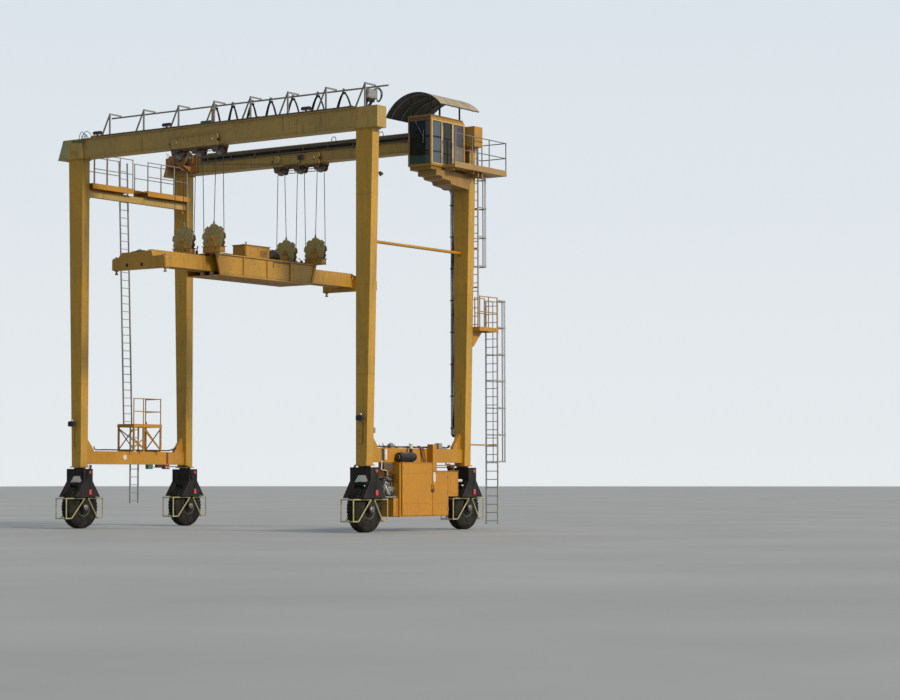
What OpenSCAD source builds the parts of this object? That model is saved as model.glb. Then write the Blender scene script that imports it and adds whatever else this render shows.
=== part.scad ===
// Rubber tyred gantry crane for freight containers: two tapered-leg frames, two girders,
// a trolley on each girder, and a telescopic spreader hung from both trolleys.
// X runs along the girders towards the cab, Y along the travel direction, Z up from the ground.

/* [Gantry frame] */
// Clear width between the inner faces of the left and right legs
clear_span = 12700; // [11500:50:15000]
// Distance between the centre planes of the near and far frames, along the travel direction
wheelbase = 5860; // [5400:20:7000]
// Height of the feet of the legs
foot_z = 2250; // [2230:10:2500]
// Height of the underside of the girders
girder_z = 13710; // [12900:10:15000]
// Width of a leg at its foot
leg_foot_w = 440; // [400:10:520]
// Width of a leg under the girder
leg_head_w = 700; // [600:10:800]
// Depth of a leg in the travel direction
leg_d = 380; // [340:10:440]
// Height of a girder
girder_h = 730; // [700:10:860]
// Width of a girder over its flanges
girder_w = 520; // [480:10:560]
// Width of a girder over its webs
girder_web_w = 380; // [320:10:400]
// Thickness of the girder flanges and of the plates at the ends of the legs
flange_t = 30; // [20:2:40]
// Overhang of the left girder ends past the legs
left_overhang = 490; // [420:2:640]
// Overhang of the right girder ends past the legs
girder_overhang = 250; // [150:10:300]
// Bevel at the top of the left girder ends
girder_bevel = 260; // [150:10:350]
// Height of the sill beams
sill_h = 490; // [380:10:540]
// Width of the sill beams
sill_w = 250; // [200:10:300]
// Gap from the feet of the legs up to the sill beams
sill_rise = 120; // [80:10:200]
// Width of the gusset plates at the ends of the sill beams
gusset_w = 480; // [300:10:600]
// Height of the gusset plates at the ends of the sill beams
gusset_h = 550; // [300:10:700]
// Height of the tie beam between the left legs, below the walkway
tie_drop = 250; // [230:10:500]
// Diameter of the pipe between the right legs
tie_pipe_d = 110; // [80:5:160]
// Height of the pipe between the right legs
tie_pipe_z = 9900; // [8600:50:11000]

/* [Wheels] */
// Outer diameter of a tyre
tyre_d = 1550; // [1400:10:1650]
// Width of a tyre
tyre_w = 450; // [400:10:480]
// Diameter of a rim
rim_d = 660; // [600:10:720]
// Width of a wheel yoke
yoke_w = 880; // [820:10:900]
// Depth of a wheel yoke in the travel direction
yoke_d = 440; // [420:10:560]
// Height of the lower edge of a yoke's box
yoke_bottom = 1160; // [1060:10:1250]
// Gap between a tyre and the yoke around it
tyre_gap = 40; // [25:5:60]
// Reach of the wheel guards in front of and behind the axle
guard_reach = 960; // [900:10:1100]
// Height of the lower pipe of the wheel guards
guard_low = 380; // [250:10:500]
// Diameter of the guard pipes
guard_pipe = 48; // [38:2:60]

/* [Trolley and hoist] */
// Distance of the load from the middle of the crane, to the left
load_offset = 820; // [0:10:1500]
// Length of a trolley
trolley_l = 2240; // [2220:10:2600]
// Height of a trolley's side plates above the underside of the girder
plate_rise = 380; // [360:10:460]
// Diameter of the trolley rollers
roller_d = 280; // [220:10:320]
// Diameter of the rope sheaves under a trolley
top_sheave_d = 300; // [260:10:340]
// Distance of a trolley's outer sheaves from the middle of the load
top_sheave_x = 950; // [900:10:1050]
// Diameter of the rope sheaves on the spreader
block_sheave_d = 910; // [800:10:960]
// Distance of each spreader sheave from the middle of the load
block_x = 703; // [650:1:760]
// Diameter of a hoist rope
rope_d = 26; // [20:1:40]
// Diameter of the flanges of a winch drum
drum_flange_d = 600; // [500:10:640]
// Diameter of a winch drum
drum_d = 440; // [360:10:460]
// Length of a winch drum
drum_l = 330; // [250:10:360]

/* [Spreader] */
// Height of the lower face of the spreader's main frame
spreader_z = 9080; // [7000:20:9400]
// Height of the spreader's main frame
spreader_h = 780; // [700:10:840]
// Width of the spreader's main frame
spreader_w = 1500; // [1400:10:1700]
// Length of the spreader's main frame along its lower edge
spreader_l = 5320; // [5200:10:5400]
// Slope of the main frame's ends
end_slope = 240; // [150:10:300]
// Height of the spreader's sheave axles above its main frame
block_rise = 520; // [480:10:600]
// Twistlock distance for the longest container
lock_long = 11985; // [11900:5:12050]
// Twistlock distance for the shortest container
lock_short = 5853; // [5840:1:5860]
// Twistlock distance across a container
lock_across = 2259; // [2200:1:2300]
// Width of one telescopic beam
beam_w = 200; // [160:5:205]
// Height of a telescopic beam
beam_h = 530; // [450:10:560]
// Width of an end beam
end_beam_w = 260; // [220:10:300]
// Height of an end beam
end_beam_h = 420; // [360:10:480]

/* [Cab and machinery] */
// Width of the cab
cab_w = 1000; // [900:10:1100]
// Length of the cab
cab_l = 2120; // [1900:10:2140]
// Height of the cab
cab_h = 1800; // [1700:10:2000]
// Drop from the girder's underside to the cab's floor
cab_drop = 890; // [700:10:1000]
// Radius of the sunshade over the cab
shade_r = 1445; // [1400:5:1500]
// Length of the sunshade
shade_l = 2440; // [2300:10:2500]
// Overhang of the sunshade in front of the cab
shade_front = 270; // [150:10:350]
// Width of the gallery past the cab
gallery_w = 550; // [450:10:600]
// Length of the gallery past the frame's centre plane
gallery_l = 1550; // [1450:10:1700]
// Length of the machinery cabinet
cabinet_l = 2880; // [2700:20:2900]
// Height of the machinery cabinet
cabinet_h = 1840; // [1700:20:1860]
// Depth of the machinery cabinet
cabinet_d = 900; // [700:10:920]
// Width of the cabinet's lower, right part
cabinet_low_l = 960; // [800:20:1100]
// Height of the step between the two parts of the cabinet
cabinet_step = 290; // [200:10:350]
// Diameter of the exhaust silencer
silencer_d = 300; // [240:10:340]
// Length of the exhaust silencer
silencer_l = 850; // [700:10:900]

/* [Access] */
// Diameter of the handrail pipes
rail_pipe = 42; // [34:2:50]
// Height of the handrails
rail_h = 1100; // [1000:10:1200]
// Spacing of the ladder rungs
rung_step = 300; // [250:10:350]
// Width of the ladders between their stiles
ladder_w = 500; // [450:10:530]
// Width of the left frame's ladders between their stiles
left_ladder_w = 445; // [400:5:480]
// Height of the handrail of the left landing
landing_rail_h = 970; // [900:10:1100]
// Height of the walkway platforms below the girders
walk_drop = 880; // [750:10:1000]
// Width of the walkway platforms
walk_w = 750; // [650:10:800]
// Height of the left landing above its sill beam
landing_rise = 1040; // [900:10:1200]
// Height of the right landing
landing_z = 7260; // [6500:20:8000]
// Width of the right landing
right_landing_w = 620; // [560:10:640]
// Depth of the right landing, out from the leg
landing_d = 1230; // [1100:10:1300]
// Reach of the ladder cages out from the ladders
cage_reach = 700; // [650:10:750]
// Width of the festoon bays between two posts
post_step = 1680; // [1500:10:1720]
// Height of the festoon posts
post_h = 870; // [750:10:950]
// Distance of the festoon rail from the posts
rail_offset = 580; // [500:10:640]
// Length of hose between two festoon carriers
loop_drop = 1050; // [900:10:1200]

/* [Hidden] */

yellow = "#d99a12";
steel = "#9a9c98";
black = "#26282a";
glass_tint = "#3a4648";
faded = "#8d7f56";
silver = "#a9aaa8";

// Gaps between pieces that move past each other, and at pins, sheaves and rollers
run_gap = 8;
pin_gap = 1;
// Far past a face, so that a cut goes through it
past = 5;

// Legs and girders
leg_in = clear_span / 2;
frame_y = wheelbase / 2;
leg_y_in = frame_y - leg_d / 2;
leg_y_out = frame_y + leg_d / 2;
foot_lip = 50;
girder_top = girder_z + girder_h;
girder_end = leg_in + leg_head_w + girder_overhang;
girder_left = leg_in + leg_head_w + left_overhang;
function leg_outer(z) = leg_in + leg_foot_w + (leg_head_w - leg_foot_w) * (z - foot_z) / (girder_z - foot_z);

// Sill beams
wheel_x = leg_in + leg_foot_w / 2;
sill_z = foot_z + sill_rise;
sill_top = sill_z + sill_h;
sill_out = wheel_x + sill_w / 2;
gusset_t = 120;

// Wheels
axle_z = tyre_d / 2;
yoke_in = tyre_w / 2 + tyre_gap;
cheek_t = yoke_w / 2 - yoke_in;
yoke_top = foot_z - 50;
cheek_plate = 60;
// Reach of the flared skirt of a yoke in front of and behind the axle, and its height
skirt_reach = 620;
skirt_top = 1740;
hub_gap = 5;
hub_d = 260;
guard_high = yoke_bottom - 50;
guard_x = tyre_w / 2 + guard_pipe / 2 + run_gap;

// Trolleys
side_plate_t = 25;
plate_gap = 15;
plate_y = girder_w / 2 + plate_gap;
sheave_w = 70;
top_sheave_z = girder_z - 30 - top_sheave_d / 2;

// Winches
winch_x = leg_in - 100;
winch_z = girder_top - 120;
winch_plate_l = 1500;
winch_plate_x = girder_left - girder_bevel;

// Spreader
spreader_top = spreader_z + spreader_h;
spreader_wall = 25;
block_z = spreader_top + block_rise;
lug_in = 106;
lug_out = 140;
sheave_guard_y = 75;
guard_disc_d = block_sheave_d + 60;
beam_z = spreader_z + 150;
beam_gap = 20;
lock_y = lock_long / 2;

// Cab, on its bracket on the far right leg
cab_floor = girder_z - cab_drop;
cab_top = cab_floor + cab_h;
cab_y = frame_y - girder_w / 2 - 80 - cab_l;
cab_x = leg_in - 400;
cab_out = cab_x + cab_w;
cab_t = 45;
cab_sill = 110;
cab_front_sill = 90;
cab_corner = 60;
cab_head = 190;
rear_bevel = 160;
cab_pan = 130;
// Share of the cab's length at the start and end of each side window
cab_windows = [[0.045, 0.3], [0.34, 0.61], [0.65, 0.955]];
shade_x = cab_x + cab_w / 2 + 10;
shade_z = cab_top - 655;
shade_t = 45;
// Angles of the sunshade's right and left edges about its centre
shade_right = 41.63;
shade_left = 153.4;
gallery_z = cab_floor + 80;
gallery_t = 110;
gallery_y = 1150;
gallery_x = cab_out + gallery_w;
gallery_end = frame_y + gallery_l;

// Machinery cabinet under the right sill beam
cabinet_x = wheel_x + 380;
cabinet_in = cabinet_x - cabinet_d;
cabinet_y = cabinet_l / 2;
cabinet_z = sill_z - cabinet_h;
cabinet_seam = cabinet_y - cabinet_low_l;
cabinet_side_l = 650;
cabinet_side_z = cabinet_z + 660;
cabinet_t = 30;
door_t = 30;
door_gap = 8;
door_jamb = 100;

// Walkway, landings and ladders
walk_z = girder_z - walk_drop;
walk_x = leg_in - 150;
walk_out = walk_x + walk_w;
walk_t = 200;
walk_near = -480;
walk_far = 310;
tie_x = leg_in + 60;
tie_w = 180;
tie_h = 250;
tie_top = walk_z - tie_drop;
stile_t = 30;
stile_d = 60;
rung_d = 28;
left_ladder_x = walk_out + 40;
left_ladder_y = walk_near + 65;
left_ladder_lean = 1.8;
low_ladder_x = walk_out - 100;
low_ladder_y = 108;
landing_top = sill_top + landing_rise;
landing_t = 120;
landing_y0 = walk_near + 70;
landing_y1 = 1180;
landing_x = walk_x + 850;
right_plate_t = 150;
up_ladder_x = leg_in + 130;
up_ladder_y = leg_y_out + 240;
down_ladder_x = up_ladder_x + 150;
landing_end = leg_y_out + landing_d;
down_ladder_y = landing_end + stile_d / 2;
ladder_over = 1040;
cage_foot = 2400;
cage_gap = 2200;

// Festoon on the near girder
festoon_x = -5170;
posts = 8;
post_w = 50;
festoon_rail_d = 60;
festoon_rail_y = -frame_y + rail_offset;
festoon_rail_z = girder_top + post_h - post_w - festoon_rail_d / 2;
hose_d = 52;
// Places of the hose carriers along the rail, from the trolley to the fixed end
carriers = [-540, 260, 1140, 2000, 3000, 4110, 5250, 6500];

// A straight bar of n sides between two points
module bar(a, b, d, n = 8) {
  v = b - a;
  l = norm(v);
  translate(a)
    rotate([0, acos(v.z / l), atan2(v.y, v.x)])
      cylinder(h = l, d = d, $fn = n);
}

// A box given by its lowest and highest corners
module block(a, b) {
  translate(a) cube(b - a);
}

// A round bar along Y, from y0 to y1
module rod_y(x, y0, y1, z, d) {
  translate([x, y1, z]) rotate([90, 0, 0]) cylinder(h = y1 - y0, d = d, $fn = 48);
}

// A flat plate in the plane of X and Z, from y0 to y1
module plate_y(y0, y1) {
  translate([0, y1, 0]) rotate([90, 0, 0]) linear_extrude(y1 - y0) children();
}

// A flat plate in the plane of Y and Z, from x0 to x1
module plate_x(x0, x1) {
  translate([x0, 0, 0]) rotate([90, 0, 90]) linear_extrude(x1 - x0) children();
}

// Mirrors the near side to the far side
module far() {
  mirror([0, 1, 0]) children();
}

// Mirrors the right side to the left side
module left() {
  mirror([1, 0, 0]) children();
}

// Handrail along a list of points, with a post at each point
module handrail(points, h = rail_h) {
  for (i = [0 : len(points) - 2])
    for (level = [h, h / 2])
      bar(points[i] + [0, 0, level], points[i + 1] + [0, 0, level], rail_pipe * 0.85);
  for (p = points)
    bar(p, p + [0, 0, h + rail_pipe / 2], rail_pipe);
}

// Points from a to b in n equal steps
function steps(a, b, n) = [for (k = [0 : n]) a + (b - a) * k / n];

// Leg on the near right, tapered on its outer side
module leg() {
  plate_y(-leg_y_out, -leg_y_in)
    polygon([
      [leg_in, foot_z],
      [leg_in + leg_foot_w, foot_z],
      [leg_in + leg_head_w, girder_z],
      [leg_in, girder_z]
    ]);
  for (end = [[foot_z, leg_foot_w], [girder_z - flange_t, leg_head_w]])
    block([leg_in - foot_lip, -leg_y_out - foot_lip, end[0]],
          [leg_in + end[1] + foot_lip, -leg_y_in + foot_lip, end[0] + flange_t]);
}

module near_left_leg() {
  color(yellow) left() leg();
}

module far_left_leg() {
  color(yellow) left() far() leg();
}

module near_right_leg() {
  color(yellow) leg();
}

module far_right_leg() {
  color(yellow) far() leg();
}

// Sill beam between the two right legs, with its corner gussets
module sill() {
  block([wheel_x - sill_w / 2, -leg_y_in, sill_z], [sill_out, leg_y_in, sill_top]);
  for (s = [-1, 1])
    plate_x(wheel_x - gusset_t / 2, wheel_x + gusset_t / 2)
      polygon([
        [s * leg_y_in, sill_top - past],
        [s * leg_y_in, sill_top + gusset_h],
        [s * (leg_y_in - 60), sill_top + gusset_h],
        [s * (leg_y_in - gusset_w), sill_top + 60],
        [s * (leg_y_in - gusset_w), sill_top - past]
      ]);
}

module left_sill() {
  color(yellow) left() sill();
}

module right_sill() {
  color(yellow) sill();
}

// Near girder: a box web between two flanges, a bevelled left end and a closed block on the right leg
module girder() {
  cap_in = 20;
  end_shape = [
    [-girder_left, girder_z],
    [-leg_in, girder_z],
    [-leg_in, girder_top],
    [-girder_left + girder_bevel, girder_top]
  ];
  plate_y(-frame_y - girder_w / 2, -frame_y + girder_w / 2) {
    polygon(end_shape);
    translate([leg_in + foot_lip, girder_z]) square([girder_end - leg_in - foot_lip, girder_h]);
    translate([-girder_left, girder_z]) square([girder_left + girder_end, flange_t]);
    translate([-girder_left + girder_bevel, girder_top - flange_t])
      square([girder_left - girder_bevel + girder_end, flange_t]);
  }
  block([-leg_in - past, -frame_y - girder_web_w / 2, girder_z + cap_in],
        [leg_in + foot_lip + past, -frame_y + girder_web_w / 2, girder_top - cap_in]);
}

module near_girder() {
  color(yellow) girder();
}

module far_girder() {
  color(yellow) far() girder();
}

// Tie beam between the left legs, below the walkway
module left_tie() {
  color(yellow)
    block([-tie_x - tie_w, -leg_y_in, tie_top - tie_h], [-tie_x, leg_y_in, tie_top]);
}

// Walkway of two channel platforms on stubs on the tie beam, with a low plate between them
module left_walkway() {
  plate = 12;
  lip = 10;
  bearer = 60;
  plate_z = walk_z - 60;
  color(yellow) {
    for (run = [[-leg_y_in + lip, walk_near], [walk_far, leg_y_in - lip]]) {
      difference() {
        block([-walk_out, run[0], walk_z - walk_t], [-walk_x, run[1], walk_z]);
        block([-walk_out + lip, run[0] - past, walk_z - walk_t - past],
              [-walk_x - lip, run[1] + past, walk_z - plate]);
      }
      for (share = [0.15, 0.85]) {
        y = run[0] + (run[1] - run[0]) * share;
        block([-walk_out, y - bearer / 2, walk_z - walk_t], [-walk_x, y + bearer / 2, walk_z - plate]);
        block([-tie_x - tie_w * 0.7, y - bearer / 2, tie_top],
              [-tie_x - tie_w * 0.3, y + bearer / 2, walk_z - walk_t]);
      }
    }
    block([-low_ladder_x + 60, walk_near - lip, plate_z], [-walk_x, walk_far + lip, plate_z + 20]);
  }
}

// Handrails on both sides of the left walkway
module left_walkway_rails() {
  inset = 30;
  end_y = leg_y_in - 140;
  color(steel)
    for (x = [-walk_x - inset, -walk_out + inset])
      for (run = [[-end_y, walk_near - inset], [walk_far + inset, end_y]])
        handrail([for (y = steps(run[0], run[1], 3)) [x, y, walk_z]]);
}

// Pipe between the right legs
module right_tie() {
  color(yellow)
    rod_y(leg_in + 250, -leg_y_in, leg_y_in, tie_pipe_z, tie_pipe_d);
}

// A ladder in a plane of constant Y, with its stiles centred on x and on x + w
module ladder(x, y, z0, z1, w = ladder_w) {
  for (s = [x, x + w])
    block([s - stile_t / 2, y - stile_d / 2, z0], [s + stile_t / 2, y + stile_d / 2, z1]);
  for (z = [z0 + 100 : rung_step : z1 - 60])
    bar([x, y, z], [x + w, y, z], rung_d, 6);
}

// Hoop cage in front of such a ladder, open towards it
module cage(x, y, z0, z1, w = ladder_w) {
  t = 12;
  hoop_h = 50;
  strap_w = 40;
  start = y + stile_d / 2;
  mid = y + cage_reach - w / 2;
  n = floor((z1 - z0) / 950);
  for (z = steps(z0, z1 - hoop_h, n))
    translate([0, 0, z])
      linear_extrude(hoop_h)
        difference() {
          union() {
            translate([x + w / 2, mid]) circle(d = w + 2 * t, $fn = 48);
            translate([x - t, start]) square([w + 2 * t, mid - start]);
          }
          translate([x + w / 2, mid]) circle(d = w, $fn = 48);
          translate([x, start - past]) square([w, mid - start + past]);
        }
  for (a = [0 : 45 : 180])
    translate([x + w / 2, mid, z0])
      rotate(a)
        translate([w / 2 - t, -strap_w / 2, 0]) cube([t + 2, strap_w, z1 - z0]);
}

// Landing on a braced trestle across the left sill beam, with a handrail
module left_landing() {
  post = 60;
  brace = 45;
  inset = 40;
  bearer = 70;
  low = sill_top + bearer;
  high = landing_top - landing_t;
  x0 = -landing_x + inset;
  x1 = -walk_x - inset;
  y0 = landing_y0 + inset;
  y1 = landing_y1 - inset;
  mid = landing_y0 + 580;
  color(yellow) {
    block([-landing_x, landing_y0, high], [-walk_x, landing_y1, landing_top]);
    for (y = [y0, y1]) {
      block([x0 - post / 2, y - post / 2, sill_top], [x1 + post / 2, y + post / 2, low]);
      for (x = [x0, x1])
        block([x - post / 2, y - post / 2, low], [x + post / 2, y + post / 2, high]);
      bar([x0, y, low], [x1, y, high - brace], brace);
      bar([x0, y, high - brace], [x1, y, low], brace);
    }
    block([-wheel_x, mid - post / 2, sill_top], [x1 + post / 2, mid + post / 2, low]);
    block([x1 - post / 2, mid - post / 2, low], [x1 + post / 2, mid + post / 2, high]);
    bar([x1, mid, high - brace], [x1, y1, low], brace * 1.4);
    bar([x1, y0, low + 60], [x1, mid, (low + high) / 2], brace);
    bar([x1, y0, (low + high) / 2], [x1, mid, low + 60], brace);
    bar([x0, y0, high - brace], [x0, y1, low], brace);
    handrail([[x1, y0, landing_top], [x1, mid, landing_top], [x1, y1, landing_top], [x0, y1, landing_top]],
             landing_rail_h);
  }
}

// Ladders of the left frame: up from the landing past the walkway, and down from it past the sill
module left_ladders() {
  foot = 900;
  up_l = (walk_z + rail_h - landing_top) / cos(left_ladder_lean);
  drop = tan(left_ladder_lean) * (walk_z - landing_top);
  bracket = 50;
  bracket_z = tie_top - 2 * bracket;
  bracket_x = left_ladder_x - tan(left_ladder_lean) * (walk_z - bracket_z);
  color(steel) {
    translate([-left_ladder_x + drop, 0, landing_top + stile_d / 2 * sin(left_ladder_lean)])
      rotate([0, -left_ladder_lean, 0])
        rotate([0, 0, 90]) ladder(left_ladder_y, 0, 0, up_l, left_ladder_w);
    rotate([0, 0, 90]) ladder(low_ladder_y, low_ladder_x, foot, landing_top - landing_t, left_ladder_w);
    for (y = [left_ladder_y, left_ladder_y + left_ladder_w])
      block([-bracket_x, y - stile_t / 2 + 3, bracket_z],
            [-tie_x - tie_w, y + stile_t / 2 - 3, bracket_z + bracket]);
    for (y = [low_ladder_y, low_ladder_y + left_ladder_w])
      block([-low_ladder_x + stile_d / 2, y - stile_t / 2, sill_z + bracket],
            [-sill_out, y + stile_t / 2, sill_z + 2 * bracket]);
  }
}

// Landing on the far right leg, between the two ladders
module right_landing() {
  lip = 10;
  plate = 12;
  x0 = up_ladder_x + 100;
  x1 = x0 + right_landing_w;
  brace = 60;
  brace_drop = 560;
  color(yellow) {
    difference() {
      block([x0, leg_y_out, landing_z - right_plate_t], [x1, landing_end, landing_z]);
      block([x0 + lip, leg_y_out + lip, landing_z - right_plate_t - past],
            [x1 - lip, landing_end - lip, landing_z - plate]);
    }
    for (x = [x0 + lip, x0 + 260])
      plate_x(x, x + brace)
        polygon([
          [leg_y_out, landing_z - right_plate_t - brace_drop],
          [leg_y_out + 60, landing_z - right_plate_t - brace_drop],
          [leg_y_out + brace_drop + 60, landing_z - right_plate_t],
          [leg_y_out + brace_drop + 60, landing_z - plate],
          [leg_y_out, landing_z - plate]
        ]);
    handrail([for (y = steps(leg_y_out + 60, landing_end - 40, 2)) [x1 - 30, y, landing_z]]);
    handrail([for (y = steps(up_ladder_y + 330, landing_end - 40, 1)) [x0 + 30, y, landing_z]]);
  }
}

// Ladders of the far right leg: down from the landing, and up from it to the gallery
module upper_ladder() {
  color(steel) ladder(up_ladder_x, up_ladder_y, landing_z, gallery_z + ladder_over);
}

module lower_ladder() {
  foot = 180;
  color(steel) ladder(down_ladder_x, down_ladder_y, foot, landing_z + ladder_over);
}

// Bracket from the leg to both stiles of a ladder at x, whose back is at y
module ladder_bracket(x, y, z, stub) {
  b = 50;
  block([x - stile_t / 2, y - b, z], [x + ladder_w + stile_t / 2, y, z + b]);
  for (foot = [x, x + stub])
    block([foot - stile_t / 2, leg_y_out, z], [foot + stile_t / 2, y - b, z + b]);
}

// Brackets of the two ladders on the far right leg
module ladder_brackets() {
  low_bracket_z = 3000;
  color(yellow) {
    for (z = steps(landing_z, gallery_z, 4))
      if (z > landing_z && z < gallery_z)
        ladder_bracket(up_ladder_x, up_ladder_y - stile_d / 2, z, 360);
    ladder_bracket(down_ladder_x, landing_end, low_bracket_z, 130);
  }
}

// Hoop cages of the two ladders on the far right leg
module upper_cage() {
  color(steel) cage(up_ladder_x, up_ladder_y, landing_z + cage_gap, gallery_z - gallery_t - cage_gap / 20);
}

module lower_cage() {
  color(steel) cage(down_ladder_x, down_ladder_y, cage_foot, landing_z + ladder_over);
}

// Box bracket that carries the cab on the far right leg, stepped along its underside
module cab_bracket() {
  top = cab_floor - cab_pan;
  color(yellow) {
    plate_x(leg_in - 100, leg_in + leg_head_w)
      polygon([
        [cab_y + 180, top],
        [leg_y_in, top],
        [leg_y_in, top - 540],
        [cab_y + 1100, top - 440],
        [cab_y + 1040, top - 330],
        [cab_y + 560, top - 300],
        [cab_y + 500, top - 210],
        [cab_y + 180, top - 210]
      ]);
    block([cab_x + 40, cab_y + 60, top], [cab_out - 40, cab_y + cab_l - 60, cab_floor]);
  }
}

// Cab shell with its windows cut through and its rear roof edge bevelled
module cab_body() {
  color(yellow)
    difference() {
      plate_x(cab_x, cab_out)
        polygon([
          [cab_y, cab_floor],
          [cab_y + cab_l, cab_floor],
          [cab_y + cab_l, cab_top - rear_bevel],
          [cab_y + cab_l - rear_bevel, cab_top],
          [cab_y, cab_top]
        ]);
      block([cab_x + cab_t, cab_y + cab_t, cab_floor + cab_t],
            [cab_out - cab_t, cab_y + cab_l - rear_bevel, cab_top - cab_t]);
      block([cab_x + cab_t, cab_y + cab_t, cab_floor + cab_t],
            [cab_out - cab_t, cab_y + cab_l - cab_t, cab_top - rear_bevel - cab_t]);
      // front window, down to the operator's feet
      block([cab_x + cab_corner, cab_y - past, cab_floor + cab_front_sill],
            [cab_out - cab_corner, cab_y + cab_t + past, cab_top - cab_head]);
      for (win = cab_windows)
        block([cab_x - past, cab_y + cab_l * win[0], cab_floor + cab_sill],
              [cab_out + past, cab_y + cab_l * win[1], cab_top - cab_head]);
    }
}

// Panes of the cab
module cab_glass() {
  pane = 8;
  inset = 18;
  color(glass_tint) {
    block([cab_x + cab_corner, cab_y + inset, cab_floor + cab_front_sill],
          [cab_out - cab_corner, cab_y + inset + pane, cab_top - cab_head]);
    for (win = cab_windows)
      for (x = [cab_x + inset, cab_out - inset - pane])
        block([x, cab_y + cab_l * win[0], cab_floor + cab_sill],
              [x + pane, cab_y + cab_l * win[1], cab_top - cab_head]);
  }
}

// Curved sunshade over the cab, on four posts
module cab_sunshade() {
  far_out = 2 * shade_r;
  y0 = cab_y - shade_front;
  post = 40;
  color(faded) {
    plate_y(y0, y0 + shade_l)
      translate([shade_x, shade_z])
        difference() {
          circle(r = shade_r, $fn = 240);
          circle(r = shade_r - shade_t, $fn = 240);
          polygon([
            [0, 0],
            far_out * [cos(shade_right), sin(shade_right)],
            [far_out, -far_out],
            [-far_out, -far_out],
            far_out * [cos(shade_left), sin(shade_left)]
          ]);
        }
    for (x = [cab_x + 60, cab_out - 60])
      for (y = [cab_y + 100, cab_y + cab_l - 260]) {
        top = shade_z + sqrt(pow(shade_r - shade_t / 2, 2) - pow(x - shade_x, 2));
        block([x - post / 2, y - post / 2, cab_top], [x + post / 2, y + post / 2, top]);
      }
  }
}

// Gallery beside the cab and behind the leg, on joists, with its handrails
module cab_gallery() {
  gap = 10;
  joist = 60;
  inset = 25;
  leg_side = leg_in + leg_head_w + 60;
  hatch_x = leg_in + 50;
  hatch_y0 = up_ladder_y - 70;
  hatch_y1 = up_ladder_y + cage_reach + 40;
  top = cab_floor - cab_pan;
  color(yellow) {
    block([leg_side, gallery_y, gallery_z - gallery_t], [gallery_x, gallery_end, gallery_z]);
    block([cab_out + gap, gallery_y, gallery_z - gallery_t],
          [leg_side + past, leg_y_in - 2 * gap, gallery_z]);
    block([hatch_x, leg_y_out + 2 * gap, gallery_z - gallery_t],
          [leg_side + past, hatch_y0, gallery_z]);
    block([hatch_x, hatch_y1, gallery_z - gallery_t], [leg_side + past, gallery_end, gallery_z]);
    for (y = [gallery_y + 100, leg_y_in - 260])
      block([cab_out + gap, y, top], [gallery_x - 120, y + joist, gallery_z - gallery_t + past]);
    for (y = [leg_y_in + 40, leg_y_out - 40 - joist])
      difference() {
        block([leg_in + leg_foot_w, y, gallery_z - gallery_t - 190],
              [gallery_x - 120, y + joist, gallery_z - past]);
        far() leg();
      }
    handrail(concat(
      [for (y = steps(gallery_y + 30, gallery_end - inset, 3)) [gallery_x - inset, y, gallery_z]],
      [[hatch_x + inset, gallery_end - inset, gallery_z], [hatch_x + inset, hatch_y1 + inset, gallery_z]]
    ));
  }
}

// Outline of the machinery cabinet in the plane of Y and Z, less a margin
module cabinet_outline(margin = 0) {
  offset(delta = -margin)
    union() {
      translate([-cabinet_y, cabinet_z]) square([cabinet_seam + cabinet_y, cabinet_h]);
      translate([-cabinet_y, cabinet_z]) square([2 * cabinet_y, cabinet_h - cabinet_step]);
    }
}

// Machinery cabinet that hangs under the right sill beam, open behind its doors
module cabinet() {
  side_y = cabinet_y + cabinet_side_l;
  low_top = sill_z - cabinet_step;
  flange = 25;
  tank_l = 270;
  tank_h = 620;
  column_y = cabinet_seam + 80;
  column_w = 240;
  column_top = sill_top + 150;
  color(yellow) {
    difference() {
      plate_x(cabinet_in, cabinet_x) cabinet_outline();
      plate_x(cabinet_in + cabinet_t, cabinet_x + past) cabinet_outline(cabinet_t);
    }
    block([cabinet_in, cabinet_y, cabinet_side_z], [cabinet_x, side_y, low_top]);
    block([cabinet_in, -cabinet_y - tank_l, cabinet_z], [cabinet_x - 60, -cabinet_y, cabinet_z + tank_h]);
    block([cabinet_x, -cabinet_y, cabinet_z - flange], [cabinet_x + flange, cabinet_y, cabinet_z]);
    block([cabinet_in, -cabinet_y, cabinet_z - flange], [cabinet_x, cabinet_y, cabinet_z]);
    block([sill_out + 10, column_y, low_top], [cabinet_x - 10, column_y + column_w, column_top]);
    block([cabinet_x - door_jamb, -cabinet_y + cabinet_t, cabinet_z + cabinet_t],
          [cabinet_x, -cabinet_y + door_jamb, sill_z - cabinet_t]);
  }
}

// A door of the cabinet between y0 and y1, up to z1, with its handle at handle_y and hinges at hinge_y
module door(y0, y1, z1, handle_y, hinge_y) {
  x = cabinet_x + door_gap;
  handle_z = cabinet_z + 0.5 * cabinet_h;
  block([x, y0 + door_gap, cabinet_z + door_gap], [x + door_t, y1 - door_gap, z1 - door_gap]);
  for (z = steps(cabinet_z + 150, z1 - 270, 2))
    translate([x + door_t, hinge_y, z]) cylinder(h = 120, d = 26, $fn = 24);
  block([x + door_t, handle_y - 20, handle_z], [x + door_t + 25, handle_y + 20, handle_z + 160]);
}

module cabinet_left_door() {
  color(yellow) door(-cabinet_y + door_jamb, cabinet_seam, sill_z, cabinet_seam - 70,
                     -cabinet_y + door_jamb + door_gap);
}

module cabinet_right_door() {
  color(yellow) door(cabinet_seam, cabinet_y, sill_z - cabinet_step, cabinet_seam + 70,
                     cabinet_y - door_gap);
}

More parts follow.
